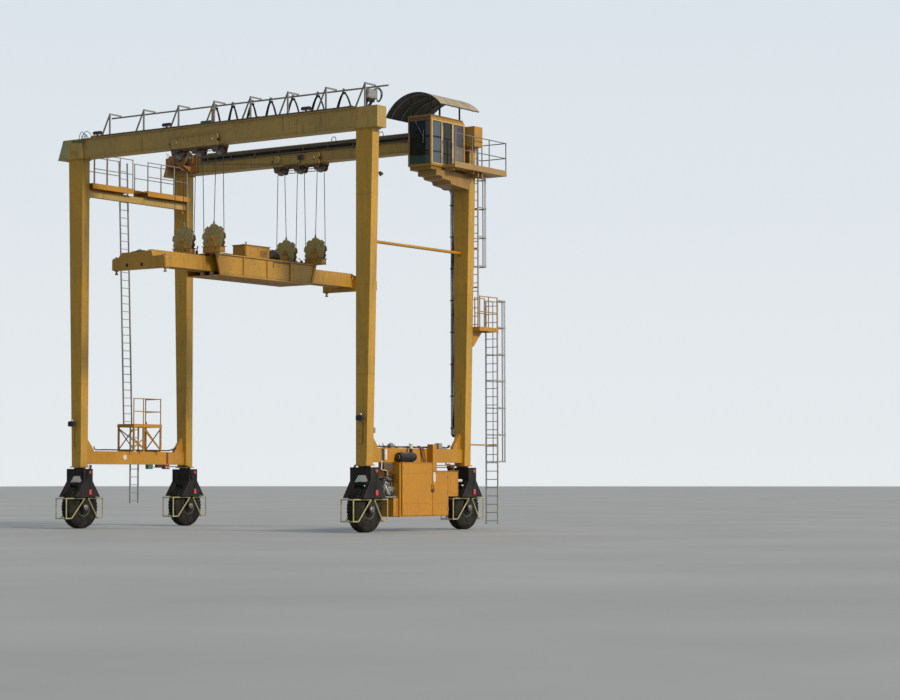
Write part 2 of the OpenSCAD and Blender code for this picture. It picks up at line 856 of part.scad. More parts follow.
// Diesel engine between the cabinet and the near wheel
module engine() {
  y0 = -cabinet_y - 680;
  y1 = -cabinet_y;
  bed_z = cabinet_side_z + 20;
  x1 = cabinet_x - 120;
  color(silver) {
    block([x1 - 660, y0, bed_z - 40], [x1 + 20, y1, bed_z]);
    block([x1 - 580, y0 + 60, bed_z], [x1 - 110, y1, bed_z + 330]);
    block([x1 - 520, y0 + 90, bed_z + 330], [x1 - 170, y1 - 40, bed_z + 620]);
    for (k = [0 : 3])
      block([x1 - 170, y0 + 130 + k * 120, bed_z + 380], [x1 - 120, y0 + 200 + k * 120, bed_z + 590]);
    translate([x1 - 110, y0 + 300, bed_z + 190]) rotate([0, 90, 0]) cylinder(h = 70, d = 300, $fn = 48);
    translate([x1 - 110, y0 + 530, bed_z + 130]) rotate([0, 90, 0]) cylinder(h = 110, d = 150, $fn = 32);
    translate([x1 - 330, y0 + 220, bed_z + 620]) cylinder(h = 60, d = 190, $fn = 32);
  }
}

// Silencer on its saddles on the cabinet, and its stack
module exhaust() {
  x = sill_out + silencer_d / 2 + 15;
  z = sill_z + silencer_d / 2 + 40;
  y0 = -cabinet_y + 90;
  saddle = 60;
  stack_d = 110;
  color(black) {
    rod_y(x, y0, y0 + silencer_l, z, silencer_d);
    for (y = [y0 + 120, y0 + silencer_l - 180])
      block([x - 90, y, sill_z], [x + 90, y + saddle, z]);
    translate([x, y0 + silencer_l - 140, z]) cylinder(h = 430, d = stack_d, $fn = 32);
    rod_y(x, y0 - 60, y0, z, stack_d);
  }
}

// Posts of the festoon on the near girder, each with its brace and its arm over the rail
module festoon_posts() {
  brace_foot = 450;
  arm_z = girder_top + post_h - post_w;
  color(steel)
    for (k = [0 : posts - 1]) {
      x = festoon_x + k * post_step;
      block([x - post_w / 2, -frame_y - post_w / 2, girder_top],
            [x + post_w / 2, -frame_y + post_w / 2, arm_z + post_w]);
      plate_y(-frame_y - post_w / 2, -frame_y + post_w / 2)
        polygon([
          [x - brace_foot, girder_top],
          [x - brace_foot + post_w, girder_top],
          [x, arm_z - past],
          [x, arm_z + post_w],
          [x - past, arm_z + post_w]
        ]);
      block([x - post_w / 2, -frame_y, arm_z],
            [x + post_w / 2, festoon_rail_y + post_w / 2, arm_z + post_w]);
      difference() {
        block([x - post_w / 2, festoon_rail_y - 20, arm_z - festoon_rail_d / 2],
              [x + post_w / 2, festoon_rail_y + 20, arm_z]);
        festoon_pipe();
      }
    }
}

// Pipe that the hose carriers run on
module festoon_pipe() {
  end_x = festoon_x + (posts - 1) * post_step + 570;
  translate([festoon_x - 430, festoon_rail_y, festoon_rail_z])
    rotate([0, 90, 0])
      cylinder(h = end_x - festoon_x + 430, d = festoon_rail_d, $fn = 32);
}

module festoon_rail() {
  color(steel) festoon_pipe();
}

// A band of width w along a path in a plane
module band(path, w) {
  n = len(path) - 1;
  dirs = [for (k = [0 : n]) path[min(k + 1, n)] - path[max(k - 1, 0)]];
  sides = [for (d = dirs) [-d.y, d.x] / norm(d) * w / 2];
  polygon(concat(path + sides, [for (k = [n : -1 : 0]) path[k] - sides[k]]));
}

// Festoon hose, its carriers under the pipe and the box at its fixed end
module festoon_hose() {
  hook_w = 60;
  box_w = 260;
  box_h = 360;
  box_top = girder_top + 640;
  bays = len(carriers) - 1;
  last = carriers[bays];
  n = 16;
  top = festoon_rail_z - festoon_rail_d / 2 - 60;
  path = [
    for (k = [0 : bays * n - 1])
      let (bay = floor(k / n), share = k / n - bay)
        [carriers[bay] + (carriers[bay + 1] - carriers[bay]) * share,
         top - loop_drop / 2 * (1 - cos(360 * share))]
  ];
  color(black) {
    plate_y(festoon_rail_y - hose_d / 2, festoon_rail_y + hose_d / 2)
      band(concat(path, [[last, top], [last + 60, top - 20], [last + 90, box_top]]), hose_d);
    for (x = carriers)
      block([x - hook_w / 2, festoon_rail_y - hook_w / 2, top - hook_w / 2],
            [x + hook_w / 2, festoon_rail_y + hook_w / 2, festoon_rail_z - festoon_rail_d / 2]);
    block([last, -frame_y + post_w / 2, box_top - box_h], [last + box_w, festoon_rail_y + 40, box_top]);
  }
}

// Bundle of hoses down the inner side of the far right leg, in clamps
module leg_hoses() {
  hose = 54;
  pitch = 58;
  z0 = 3300;
  z1 = cab_floor - 620;
  y = frame_y - 60;
  first = leg_in - 40;
  color(black) {
    for (k = [0 : 3])
      translate([first - k * pitch, y, z0]) cylinder(h = z1 - z0, d = hose, $fn = 24);
    for (z = [z0 + 300 : 1150 : z1 - 100])
      block([first - 3.6 * pitch, y - 32, z], [leg_in, y + 32, z + 40]);
  }
}

// Hoist winch on its plate, on the inner side of the near girder's left end, with its gearbox beside it
module winch() {
  y = -frame_y + girder_w / 2;
  x = -winch_x;
  plate_t = 30;
  flange = 40;
  gear_l = 240;
  drum_y = y + plate_t + flange;
  box_x = x - drum_flange_d / 2 - 60;
  block([-winch_plate_x, y, girder_z + 60], [-winch_plate_x + winch_plate_l, y + plate_t, winch_z + 100]);
  rod_y(x, y + plate_t, drum_y, winch_z, drum_flange_d);
  rod_y(x, drum_y, drum_y + drum_l, winch_z, drum_d);
  rod_y(x, drum_y + drum_l, drum_y + drum_l + flange, winch_z, drum_flange_d);
  rod_y(x, drum_y + drum_l + flange, drum_y + drum_l + flange + gear_l, winch_z, drum_d * 0.6);
  block([box_x - 480, y + plate_t, winch_z - 300], [box_x, y + plate_t + drum_l, winch_z + 60]);
  block([box_x - 400, y + plate_t + 60, winch_z + 60], [box_x - 80, y + drum_l - 60, winch_z + 150]);
}

module hoist_winches() {
  color(yellow) {
    winch();
    far() winch();
  }
}

// A floodlight on its stub, with its face towards -Y
module floodlight() {
  block([-130, -90, -80], [130, 40, 80]);
  block([-25, 40, -25], [25, 150, 25]);
}

// A floodlight on a post on the near girder
module girder_light() {
  block([-25, -25, 0], [25, 25, 150]);
  block([-170, -70, 150], [170, 90, 240]);
}

module floodlights() {
  light_z = 3850;
  color(black) {
    for (x = [-leg_in - 300, leg_in + 300])
      translate([x, -leg_y_out - 150, light_z]) floodlight();
    for (bay = [-0.37, 1.66, 5.48])
      translate([festoon_x + bay * post_step, -frame_y, girder_top]) girder_light();
  }
}

// Wheel yoke about its kingpin: a box on two cheeks that flare over the tyre, with its guards
module yoke() {
  half = yoke_w / 2;
  turntable_d = 420;
  ear_d = 320;
  low_return = 270;
  guard_in = yoke_in + cheek_plate + guard_pipe / 2 - 6;
  e_top = guard_reach + guard_pipe / 2;
  block([-half, -yoke_d / 2, tyre_d + tyre_gap], [half, yoke_d / 2, yoke_top]);
  translate([0, 0, yoke_top - past])
    cylinder(h = foot_z - run_gap - yoke_top + past, d = turntable_d, $fn = 48);
  for (s = [-1, 1]) {
    a = s > 0 ? yoke_in : -half;
    plate_x(a, a + cheek_t)
      polygon([
        [-yoke_d / 2, yoke_top],
        [-yoke_d / 2, skirt_top],
        [-skirt_reach, yoke_bottom],
        [skirt_reach, yoke_bottom],
        [yoke_d / 2, skirt_top],
        [yoke_d / 2, yoke_top]
      ]);
    p = s > 0 ? yoke_in : -yoke_in - cheek_plate;
    plate_x(p, p + cheek_plate)
      union() {
        polygon([
          [-240, yoke_bottom + 20],
          [240, yoke_bottom + 20],
          [ear_d / 2, axle_z],
          [-ear_d / 2, axle_z]
        ]);
        translate([0, axle_z]) circle(d = ear_d, $fn = 48);
      }
    for (e = [-1, 1]) {
      x = s * guard_x;
      root = [s * guard_in, e * 90, guard_high];
      bar(root, [x, e * e_top, guard_high], guard_pipe - 3);
      bar([x, e * guard_reach, guard_high + 7], [x, e * guard_reach, guard_low - guard_pipe / 2], guard_pipe);
      bar([x, e * guard_reach, guard_low], [x, e * (guard_reach - low_return), guard_low], guard_pipe);
      bar([x, e * (guard_reach - low_return - 10), guard_low], root + [0, e * 7, -9], guard_pipe);
    }
  }
  for (e = [-1, 1])
    for (z = [guard_low, guard_high])
      bar([-guard_x, e * guard_reach, z], [guard_x, e * guard_reach, z], guard_pipe);
}

// Tyre about its axle, with two rounded shoulders
module tyre() {
  shoulder = 60;
  side = 150;
  bead = 60;
  half = [
    [rim_d / 2, 30],
    [rim_d / 2 + bead, 6],
    [tyre_d / 2 - side, 0],
    [tyre_d / 2 - shoulder, 20],
    [tyre_d / 2 - 8, 50],
    [tyre_d / 2, tyre_w / 2 - shoulder]
  ];
  translate([-tyre_w / 2, 0, axle_z])
    rotate([0, 90, 0])
      rotate_extrude($fn = 96)
        polygon(concat(half, [for (k = [len(half) - 1 : -1 : 0]) [half[k].x, tyre_w - half[k].y]]));
}

// Rim, dished disc and hub of a wheel
module rim() {
  lip = tyre_gap - hub_gap;
  half = [
    [0, -lip],
    [hub_d / 2, -lip],
    [hub_d / 2, 90],
    [rim_d / 2 - 60, 120],
    [rim_d / 2 - 40, 25],
    [rim_d / 2, 10]
  ];
  translate([-tyre_w / 2, 0, axle_z])
    rotate([0, 90, 0])
      rotate_extrude($fn = 96)
        polygon(concat(half, [for (k = [len(half) - 1 : -1 : 0]) [half[k].x, tyre_w - half[k].y]]));
}

// Places a wheel piece under one of the four legs
module at_wheel(sx, sy) {
  translate([sx * wheel_x, sy * frame_y, 0]) children();
}

module near_left_yoke() {
  color(black) at_wheel(-1, -1) yoke();
}

module far_left_yoke() {
  color(black) at_wheel(-1, 1) yoke();
}

module near_right_yoke() {
  color(black) at_wheel(1, -1) yoke();
}

module far_right_yoke() {
  color(black) at_wheel(1, 1) yoke();
}

module near_left_tyre() {
  color(black) at_wheel(-1, -1) tyre();
}

module far_left_tyre() {
  color(black) at_wheel(-1, 1) tyre();
}

module near_right_tyre() {
  color(black) at_wheel(1, -1) tyre();
}

module far_right_tyre() {
  color(black) at_wheel(1, 1) tyre();
}

module near_left_rim() {
  color(steel) at_wheel(-1, -1) rim();
}

module far_left_rim() {
  color(steel) at_wheel(-1, 1) rim();
}

module near_right_rim() {
  color(steel) at_wheel(1, -1) rim();
}

module far_right_rim() {
  color(steel) at_wheel(1, 1) rim();
}

// Side plate of a trolley, with a lobe round each sheave axle
module trolley_plate() {
  half = trolley_l / 2;
  corner = 60;
  shoulder_z = girder_z + plate_rise - corner;
  skirt_z = girder_z - 80;
  lobe = top_sheave_d * 0.4;
  polygon([
    [-half, skirt_z],
    [half, skirt_z],
    [half, shoulder_z],
    [half - corner, shoulder_z + corner],
    [-half + corner, shoulder_z + corner],
    [-half, shoulder_z]
  ]);
  for (k = [-1, 0, 1])
    translate([k * top_sheave_x, 0]) {
      translate([0, top_sheave_z]) circle(r = lobe, $fn = 48);
      polygon([
        [-top_sheave_d / 2, skirt_z + past],
        [-lobe, top_sheave_z],
        [lobe, top_sheave_z],
        [top_sheave_d / 2, skirt_z + past]
      ]);
    }
}

// Trolley on the near girder: two side plates, rollers on the lower flange and sheaves below
module trolley() {
  axle_d = 90;
  roller_z = girder_z + flange_t + roller_d / 2 + pin_gap;
  reach = girder_w / 2 - girder_web_w / 2 - 22;
  half = trolley_l / 2;
  axle_end = plate_y + side_plate_t + 20;
  translate([-load_offset, -frame_y, 0]) {
    for (s = [-1, 1]) {
      y = s > 0 ? plate_y : -plate_y - side_plate_t;
      plate_y(y, y + side_plate_t) trolley_plate();
      for (x = [-half + roller_d, half - roller_d]) {
        y1 = s > 0 ? plate_y + past : -plate_y + plate_gap + reach;
        rod_y(x, y1 - plate_gap - reach - past, y1, roller_z, roller_d);
        rod_y(x, s > 0 ? y + past : y - 40, s > 0 ? y + side_plate_t + 40 : y + past, roller_z, axle_d);
      }
    }
    for (k = [-1, 0, 1]) {
      rod_y(k * top_sheave_x, -axle_end, axle_end, top_sheave_z, axle_d);
      rod_y(k * top_sheave_x, -sheave_w / 2, sheave_w / 2, top_sheave_z, top_sheave_d);
    }
  }
}

module near_trolley() {
  color(yellow) trolley();
}

module far_trolley() {
  color(yellow) far() trolley();
}

// Hoist ropes of the near side: two falls over each spreader sheave and one anchored above it
module ropes() {
  top_r = top_sheave_d / 2 + rope_d / 2 + pin_gap;
  block_r = block_sheave_d / 2 + rope_d / 2 + pin_gap;
  anchor_z = block_z + guard_disc_d / 2 + 20 + pin_gap;
  falls = [
    [top_sheave_x + top_r, block_x + block_r, block_z],
    [top_sheave_x - top_r, block_x, anchor_z],
    [top_r, block_x - block_r, block_z]
  ];
  for (s = [-1, 1])
    for (fall = falls)
      bar([s * fall[0] - load_offset, -frame_y, top_sheave_z],
          [s * fall[1] - load_offset, -frame_y, fall[2]], rope_d);
}

module near_hoist_ropes() {
  color(steel) ropes();
}

module far_hoist_ropes() {
  color(steel) far() ropes();
}

// Places a piece at each of the four sheave axles of the spreader
module at_sheaves() {
  for (s = [-1, 1])
    for (k = [-1, 1])
      translate([s * block_x - load_offset, k * frame_y, 0]) children();
}

// Pedestal of a spreader sheave: a slotted box with two lugs
module pedestal() {
  half = 430;
  h = 230;
  rim = 30;
  box_top = spreader_top + h;
  difference() {
    union() {
      block([-half + rim, -lug_out, spreader_top - past], [half - rim, lug_out, box_top]);
      block([-half, -lug_out - rim, box_top - rim], [half, lug_out + rim, box_top]);
    }
    block([-half - past, -lug_in, spreader_top + rim], [half + past, lug_in, box_top + past]);
  }
  for (y = [-lug_out, lug_in])
    plate_y(y, y + lug_out - lug_in)
      union() {
        polygon([[-260, box_top - past], [260, box_top - past], [90, block_z], [-90, block_z]]);
        translate([0, block_z]) circle(d = 200, $fn = 48);
      }
}

// Main frame of the spreader, a ribbed box open at both ends for the telescopic beams
module spreader_frame() {
  l = spreader_l / 2;
  w = spreader_w / 2;
  rib = 60;
  rib_out = 40;
  band = 110;
  color(yellow) {
    translate([-load_offset, 0, 0])
      difference() {
        union() {
          plate_x(-w, w)
            polygon([
              [-l, spreader_z],
              [l, spreader_z],
              [l + end_slope, spreader_top],
              [-l - end_slope, spreader_top]
            ]);
          for (s = [-1, 1])
            plate_x(-w - rib_out, w + rib_out)
              polygon([
                [s * (l - band), spreader_z],
                [s * l, spreader_z],
                [s * (l + end_slope), spreader_top],
                [s * (l + end_slope - band), spreader_top]
              ]);
          for (y = [-1350, 0, 1350])
            block([-w - rib_out, y - rib / 2, spreader_z], [w + rib_out, y + rib / 2, spreader_top]);
        }
        block([-w + spreader_wall, -lock_y, spreader_z + spreader_wall],
              [w - spreader_wall, lock_y, spreader_top - spreader_wall]);
      }
    at_sheaves() pedestal();
  }
}

// One guard disc of a spreader sheave, scalloped round its rim
module guard_disc() {
  difference() {
    circle(d = guard_disc_d, $fn = 96);
    for (k = [0 : 8])
      rotate(30 + 40 * k)
        translate([guard_disc_d / 2 + 15, 0]) circle(d = 150, $fn = 32);
  }
}

// Sheaves on the spreader, each between two scalloped discs that carry the rope anchor
module sheave_blocks() {
  disc_t = 30;
  color(yellow)
    at_sheaves() {
      rod_y(0, -sheave_w / 2, sheave_w / 2, block_z, block_sheave_d);
      rod_y(0, -lug_in + pin_gap, lug_in - pin_gap, block_z, 140);
      for (y = [-sheave_guard_y, sheave_guard_y])
        plate_y(y - disc_t / 2, y + disc_t / 2) translate([0, block_z]) guard_disc();
      block([-25, -sheave_guard_y - disc_t / 2, block_z + guard_disc_d / 2 - 25],
            [25, sheave_guard_y + disc_t / 2, block_z + guard_disc_d / 2 + 20]);
    }
}

// Power unit on the spreader's main frame: a lidded box and a motor beside it
module spreader_power_unit() {
  half_w = 300;
  half_l = 690;
  h = 480;
  lip = 30;
  motor_d = 300;
  color(yellow)
    translate([-load_offset, 0, spreader_top]) {
      block([-half_w, -half_l, 0], [half_w, half_l, h]);
      block([-half_w - lip, -half_l - lip, h], [half_w + lip, half_l + lip, h + lip]);
      rod_y(150, half_l + 120, half_l + 620, motor_d / 2 + 60, motor_d);
      block([60, half_l + 180, 0], [240, half_l + 560, 120]);
    }
}

// Telescopic arm towards -Y: two beams side by side, the end beam and its twistlocks
module arm(shift) {
  x = -load_offset;
  half = lock_across / 2 + 90;
  back = spreader_l / 2 - (lock_long - lock_short) / 2 - 1094;
  nose = 120;
  hump_h = 180;
  y0 = -lock_y - end_beam_w / 2;
  for (k = [0, 1])
    translate([x + shift * (1.5 - 2 * k) * (beam_w + beam_gap), 0, 0])
      plate_x(-beam_w / 2, beam_w / 2)
        polygon([
          [-lock_y, beam_z],
          [back, beam_z],
          [back, beam_z + beam_h],
          [-lock_y + nose, beam_z + beam_h],
          [-lock_y, beam_z + beam_h - nose]
        ]);
  plate_y(y0, y0 + end_beam_w)
    polygon([
      [x - half, spreader_z],
      [x + half, spreader_z],
      [x + half, spreader_z + end_beam_h - 60],
      [x + half - 60, spreader_z + end_beam_h],
      [x - half + 60, spreader_z + end_beam_h],
      [x - half, spreader_z + end_beam_h - 60]
    ]);
  plate_y(y0, y0 + end_beam_w - 70)
    polygon([
      [x - half + 360, spreader_z + end_beam_h - past],
      [x + half - 560, spreader_z + end_beam_h - past],
      [x + half - 620, spreader_z + end_beam_h + hump_h],
      [x - half + 460, spreader_z + end_beam_h + hump_h]
    ]);
  for (s = [-1, 1])
    translate([x + s * lock_across / 2, -lock_y, spreader_z]) {
      translate([0, 0, -110]) cylinder(h = 110 + past, d = 60, $fn = 32);
      block([-50, -30, -150], [50, 30, -100]);
    }
}

module near_arm() {
  color(yellow) arm(1);
}

module far_arm() {
  color(yellow) far() arm(-1);
}

near_left_leg();
far_left_leg();
near_right_leg();
far_right_leg();
left_sill();
right_sill();
near_girder();
far_girder();
left_tie();
left_walkway();
left_walkway_rails();
right_tie();
left_landing();
left_ladders();
right_landing();
upper_ladder();
lower_ladder();
ladder_brackets();
upper_cage();
lower_cage();
cab_bracket();
cab_body();
cab_glass();
cab_sunshade();
cab_gallery();
cabinet();
cabinet_left_door();
cabinet_right_door();
engine();
exhaust();
festoon_posts();
festoon_rail();
festoon_hose();
leg_hoses();
hoist_winches();
floodlights();
near_left_yoke();
far_left_yoke();
near_right_yoke();
far_right_yoke();
near_left_tyre();
far_left_tyre();
near_right_tyre();
far_right_tyre();
near_left_rim();
far_left_rim();
near_right_rim();
far_right_rim();
near_trolley();
far_trolley();
near_hoist_ropes();
far_hoist_ropes();
spreader_frame();
sheave_blocks();
spreader_power_unit();
near_arm();
far_arm();
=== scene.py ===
import math
import random
from itertools import product

import bpy
from mathutils import Matrix, Vector


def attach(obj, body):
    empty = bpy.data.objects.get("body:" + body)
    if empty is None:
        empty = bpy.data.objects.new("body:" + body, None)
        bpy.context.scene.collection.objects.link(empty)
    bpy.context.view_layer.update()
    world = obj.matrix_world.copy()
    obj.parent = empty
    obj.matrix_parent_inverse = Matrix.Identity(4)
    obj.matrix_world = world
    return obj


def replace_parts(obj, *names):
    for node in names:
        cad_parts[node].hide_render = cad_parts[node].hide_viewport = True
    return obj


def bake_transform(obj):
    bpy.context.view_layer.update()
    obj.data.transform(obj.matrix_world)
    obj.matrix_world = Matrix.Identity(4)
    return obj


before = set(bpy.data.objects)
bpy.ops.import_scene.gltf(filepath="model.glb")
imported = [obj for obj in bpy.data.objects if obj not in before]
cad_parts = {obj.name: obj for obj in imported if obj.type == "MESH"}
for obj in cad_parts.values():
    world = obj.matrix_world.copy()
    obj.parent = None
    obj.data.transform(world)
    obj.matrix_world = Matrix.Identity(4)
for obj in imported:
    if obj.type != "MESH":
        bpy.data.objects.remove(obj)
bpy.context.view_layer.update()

rng = random.Random(11)

# Sizes of the crane in metres, the same as in the solids
LEG_IN = 6.35
FRAME_Y = 2.93
WHEEL_X = 6.57
AXLE_Z = 0.775
FOOT_Z = 2.25
SILL_TOP = 2.86
GIRDER_Z = 13.71
GIRDER_TOP = 14.44
LOAD_X = -0.82
SHEAVE_Z = 13.53
BLOCK_X = 0.703
BLOCK_Z = 10.38
CAB_X0, CAB_X1 = 5.95, 6.95
CAB_Y0 = 0.47
CAB_Z0, CAB_Z1 = 12.82, 14.62
DOOR_X = 6.988
WALK_Z = 12.83
LANDING_Z = 3.90
GALLERY_Z = 12.90
SHEAVE_XS = (-1.77, LOAD_X, 0.13)
SIDES = (("near", -1), ("far", 1))
SMOOTH_ANGLE = 32


def leg_outer(z):
    return LEG_IN + 0.44 + 0.26 * (z - FOOT_Z) / (GIRDER_Z - FOOT_Z)


def spread(a, b, n):
    """n values from a to b at equal steps."""
    return [a + (b - a) * k / (n - 1) for k in range(n)]


def circle(centre, r, a, across="y"):
    """Point at angle a, in degrees, on a circle that lies across an axis."""
    c, s = r * math.cos(math.radians(a)), r * math.sin(math.radians(a))
    x, y, z = centre
    return {"x": (x, y + c, z + s), "y": (x + c, y, z + s), "z": (x + c, y + s, z)}[across]


def arc(centre, r, a0, a1, n):
    return [circle(centre, r, a) for a in spread(a0, a1, n + 1)]


def curve(points, n=8):
    """A smooth path through the given points."""
    p = [Vector(q) for q in points]
    p = [p[0] * 2 - p[1]] + p + [p[-1] * 2 - p[-2]]
    out = []
    for a, b, c, d in zip(p, p[1:], p[2:], p[3:]):
        for t in [k / n for k in range(n)]:
            out.append(0.5 * ((2 * b) + (c - a) * t + (2 * a - 5 * b + 4 * c - d) * t * t
                              + (3 * b - a - 3 * c + d) * t ** 3))
    return out + [p[-2]]


# Shapes
AXES = {"x": (1, 0, 0), "y": (0, 1, 0), "z": (0, 0, 1), "-x": (-1, 0, 0), "-y": (0, -1, 0), "-z": (0, 0, -1)}


class Shape:
    """Collects simple solids into one mesh. Points count from an origin, and x or y may be mirrored there.
    Each face keeps the number of its material."""

    def __init__(self):
        self.v, self.f, self.m, self.k = [], [], [], 0
        self.at()

    def at(self, x=0.0, y=0.0, z=0.0, sx=1, sy=1):
        self.origin, self.sign = (x, y, z), (sx, sy, 1)
        return self

    def mat(self, k):
        self.k = k
        return self

    def put(self, p):
        return tuple(o + s * c for o, s, c in zip(self.origin, self.sign, p))

    def way(self, axis):
        return Vector([s * c for s, c in zip(self.sign, AXES.get(axis, axis))]).normalized()

    def faces(self, faces):
        self.f += [tuple(face) for face in faces]
        self.m += [self.k] * len(faces)
        return self

    def ring(self, p, d, side, r, n, turn=0.0):
        """Adds n points round p, across d, and gives their numbers."""
        up, first = d.cross(side), len(self.v)
        for k in range(n):
            t = 2 * math.pi * (k + turn) / n
            self.v.append(tuple(p + side * (r * math.cos(t)) + up * (r * math.sin(t))))
        return list(range(first, first + n))

    def skin(self, rings, caps=True, closed=False):
        """Joins rings of points, of which one may be a single point."""
        faces = []
        for a, b in zip(rings, rings[1:] + rings[:closed]):
            n = max(len(a), len(b))
            for k in range(n):
                j = (k + 1) % n
                face = dict.fromkeys((a[k % len(a)], a[j % len(a)], b[j % len(b)], b[k % len(b)]))
                if len(face) > 2:
                    faces.append(face)
        if caps and not closed:
            faces += [rings[0][::-1], rings[-1]]
        return self.faces(faces)

    def block(self, lo, hi, cut):
        """A box with cut edges. Each corner has three points, one on each face."""
        ends = [sorted(pair) for pair in zip(self.put(lo), self.put(hi))]
        cut = min(cut, 0.45 * min(b - a for a, b in ends))
        ids = {}
        for corner in product((0, 1), repeat=3):
            for a in range(3):
                ids[(*corner, a)] = len(self.v)
                self.v.append(tuple(ends[b][e] + (0 if a == b else (cut, -cut)[e])
                                    for b, e in enumerate(corner)))
        faces = [[ids[(*corner, a)] for a in range(3)] for corner in product((0, 1), repeat=3)]
        for a in range(3):
            b, c = (a + 1) % 3, (a + 2) % 3

            def point(e, g, h, face):
                corner = [0, 0, 0]
                corner[a], corner[b], corner[c] = e, g, h
                return ids[(*corner, face)]
            for e in (0, 1):
                faces.append([point(e, g, h, a) for g, h in ((0, 0), (0, 1), (1, 1), (1, 0))])
            for g, h in product((0, 1), repeat=2):
                faces.append([point(0, g, h, b), point(1, g, h, b), point(1, g, h, c), point(0, g, h, c)])
        middle = Vector([(a + b) / 2 for a, b in ends])
        for k, face in enumerate(faces):
            p = [Vector(self.v[i]) for i in face]
            if (p[1] - p[0]).cross(p[2] - p[0]).dot(sum(p, Vector()) / len(p) - middle) < 0:
                faces[k] = face[::-1]
        return self.faces(faces)

    def rod(self, a, b, r, n, r2, turn=0.0):
        d = (b - a).normalized()
        side = d.orthogonal().normalized()
        return self.skin([self.ring(a, d, side, r, n, turn), self.ring(b, d, side, r2, n, turn)])

    def bar(self, a, b, r, n=12, r2=None):
        return self.rod(Vector(self.put(a)), Vector(self.put(b)), r, n, r if r2 is None else r2)

    def bolt(self, at, axis, r, h):
        """A hexagon head on a washer, standing on a face."""
        at, d = Vector(self.put(at)), self.way(axis)
        self.rod(at - d * 0.002, at + d * h * 0.25, r * 1.35, 10, r * 1.35)
        return self.rod(at + d * h * 0.2, at + d * h, r, 6, r, rng.random())

    def bolts(self, xs, ys, zs, axis, r, h):
        for p in product(xs, ys, zs):
            self.bolt(p, axis, r, h)
        return self

    def bolt_ring(self, centre, radius, n, axis, r, h, turn=0):
        for k in range(n):
            self.bolt(circle(centre, radius, turn + 360 * k / n, axis[-1]), axis, r, h)
        return self

    def tube(self, path, r, n=8, closed=False):
        path = [Vector(self.put(p)) for p in path]
        m, side, rings = len(path), None, []
        for i, p in enumerate(path):
            before, after = (i - 1, (i + 1) % m) if closed else (max(i - 1, 0), min(i + 1, m - 1))
            d = (path[after] - path[before]).normalized()
            side = (side - d * side.dot(d) if side else d.orthogonal()).normalized()
            rings.append(self.ring(p, d, side, r, n))
        return self.skin(rings, closed=closed)

    def pipe(self, points, r, n=8, steps=6):
        """A tube along a smooth path."""
        return self.tube(curve(points, steps), r, n)

    def turned(self, centre, axis, profile, n=32):
        """Turns (radius, height) pairs round an axis through centre; ends on the axis are closed."""
        centre, d = Vector(self.put(centre)), self.way(axis)
        side = d.orthogonal().normalized()
        return self.skin([self.ring(centre + d * h, d, side, r, n if r > 1e-6 else 1) for r, h in profile],
                         caps=False)

    def plate(self, outline, axis, t0, t1):
        """Extrudes an outline along an axis. Its pairs are the other two coordinates."""
        k, n, first = "xyz".index(axis), len(outline), len(self.v)
        low, high = sorted(([self.put((*p[:k], t, *p[k:])) for p in outline] for t in (t0, t1)),
                           key=lambda points: points[0][k])
        flat = [p[:k] + p[k + 1:] for p in low]
        area = sum(a[0] * b[1] - b[0] * a[1] for a, b in zip(flat, flat[1:] + flat[:1]))
        order = -1 if (area < 0) != (axis == "y") else 1
        self.v += low + high
        return self.skin([list(range(first, first + n))[::order],
                          list(range(first + n, first + 2 * n))[::order]])

    def slab(self, lo, hi, axis, t0, t1):
        """A plain rectangle, extruded."""
        return self.plate([lo, (hi[0], lo[1]), hi, (lo[0], hi[1])], axis, t0, t1)

    def make(self, name, materials, body=None, slot=None):
        mesh = bpy.data.meshes.new(name)
        mesh.from_pydata(self.v, [], self.f)
        for key in materials.split():
            mesh.materials.append(M[key])
        mesh.polygons.foreach_set("material_index", self.m)
        mesh.polygons.foreach_set("use_smooth", [True] * len(mesh.polygons))
        mesh.update()
        mesh.set_sharp_from_angle(angle=math.radians(SMOOTH_ANGLE))
        mesh.validate()
        obj = bpy.data.objects.new(name, mesh)
        bpy.context.scene.collection.objects.link(obj)
        if body:
            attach(obj, body)
        return obj


# Materials
M = {}


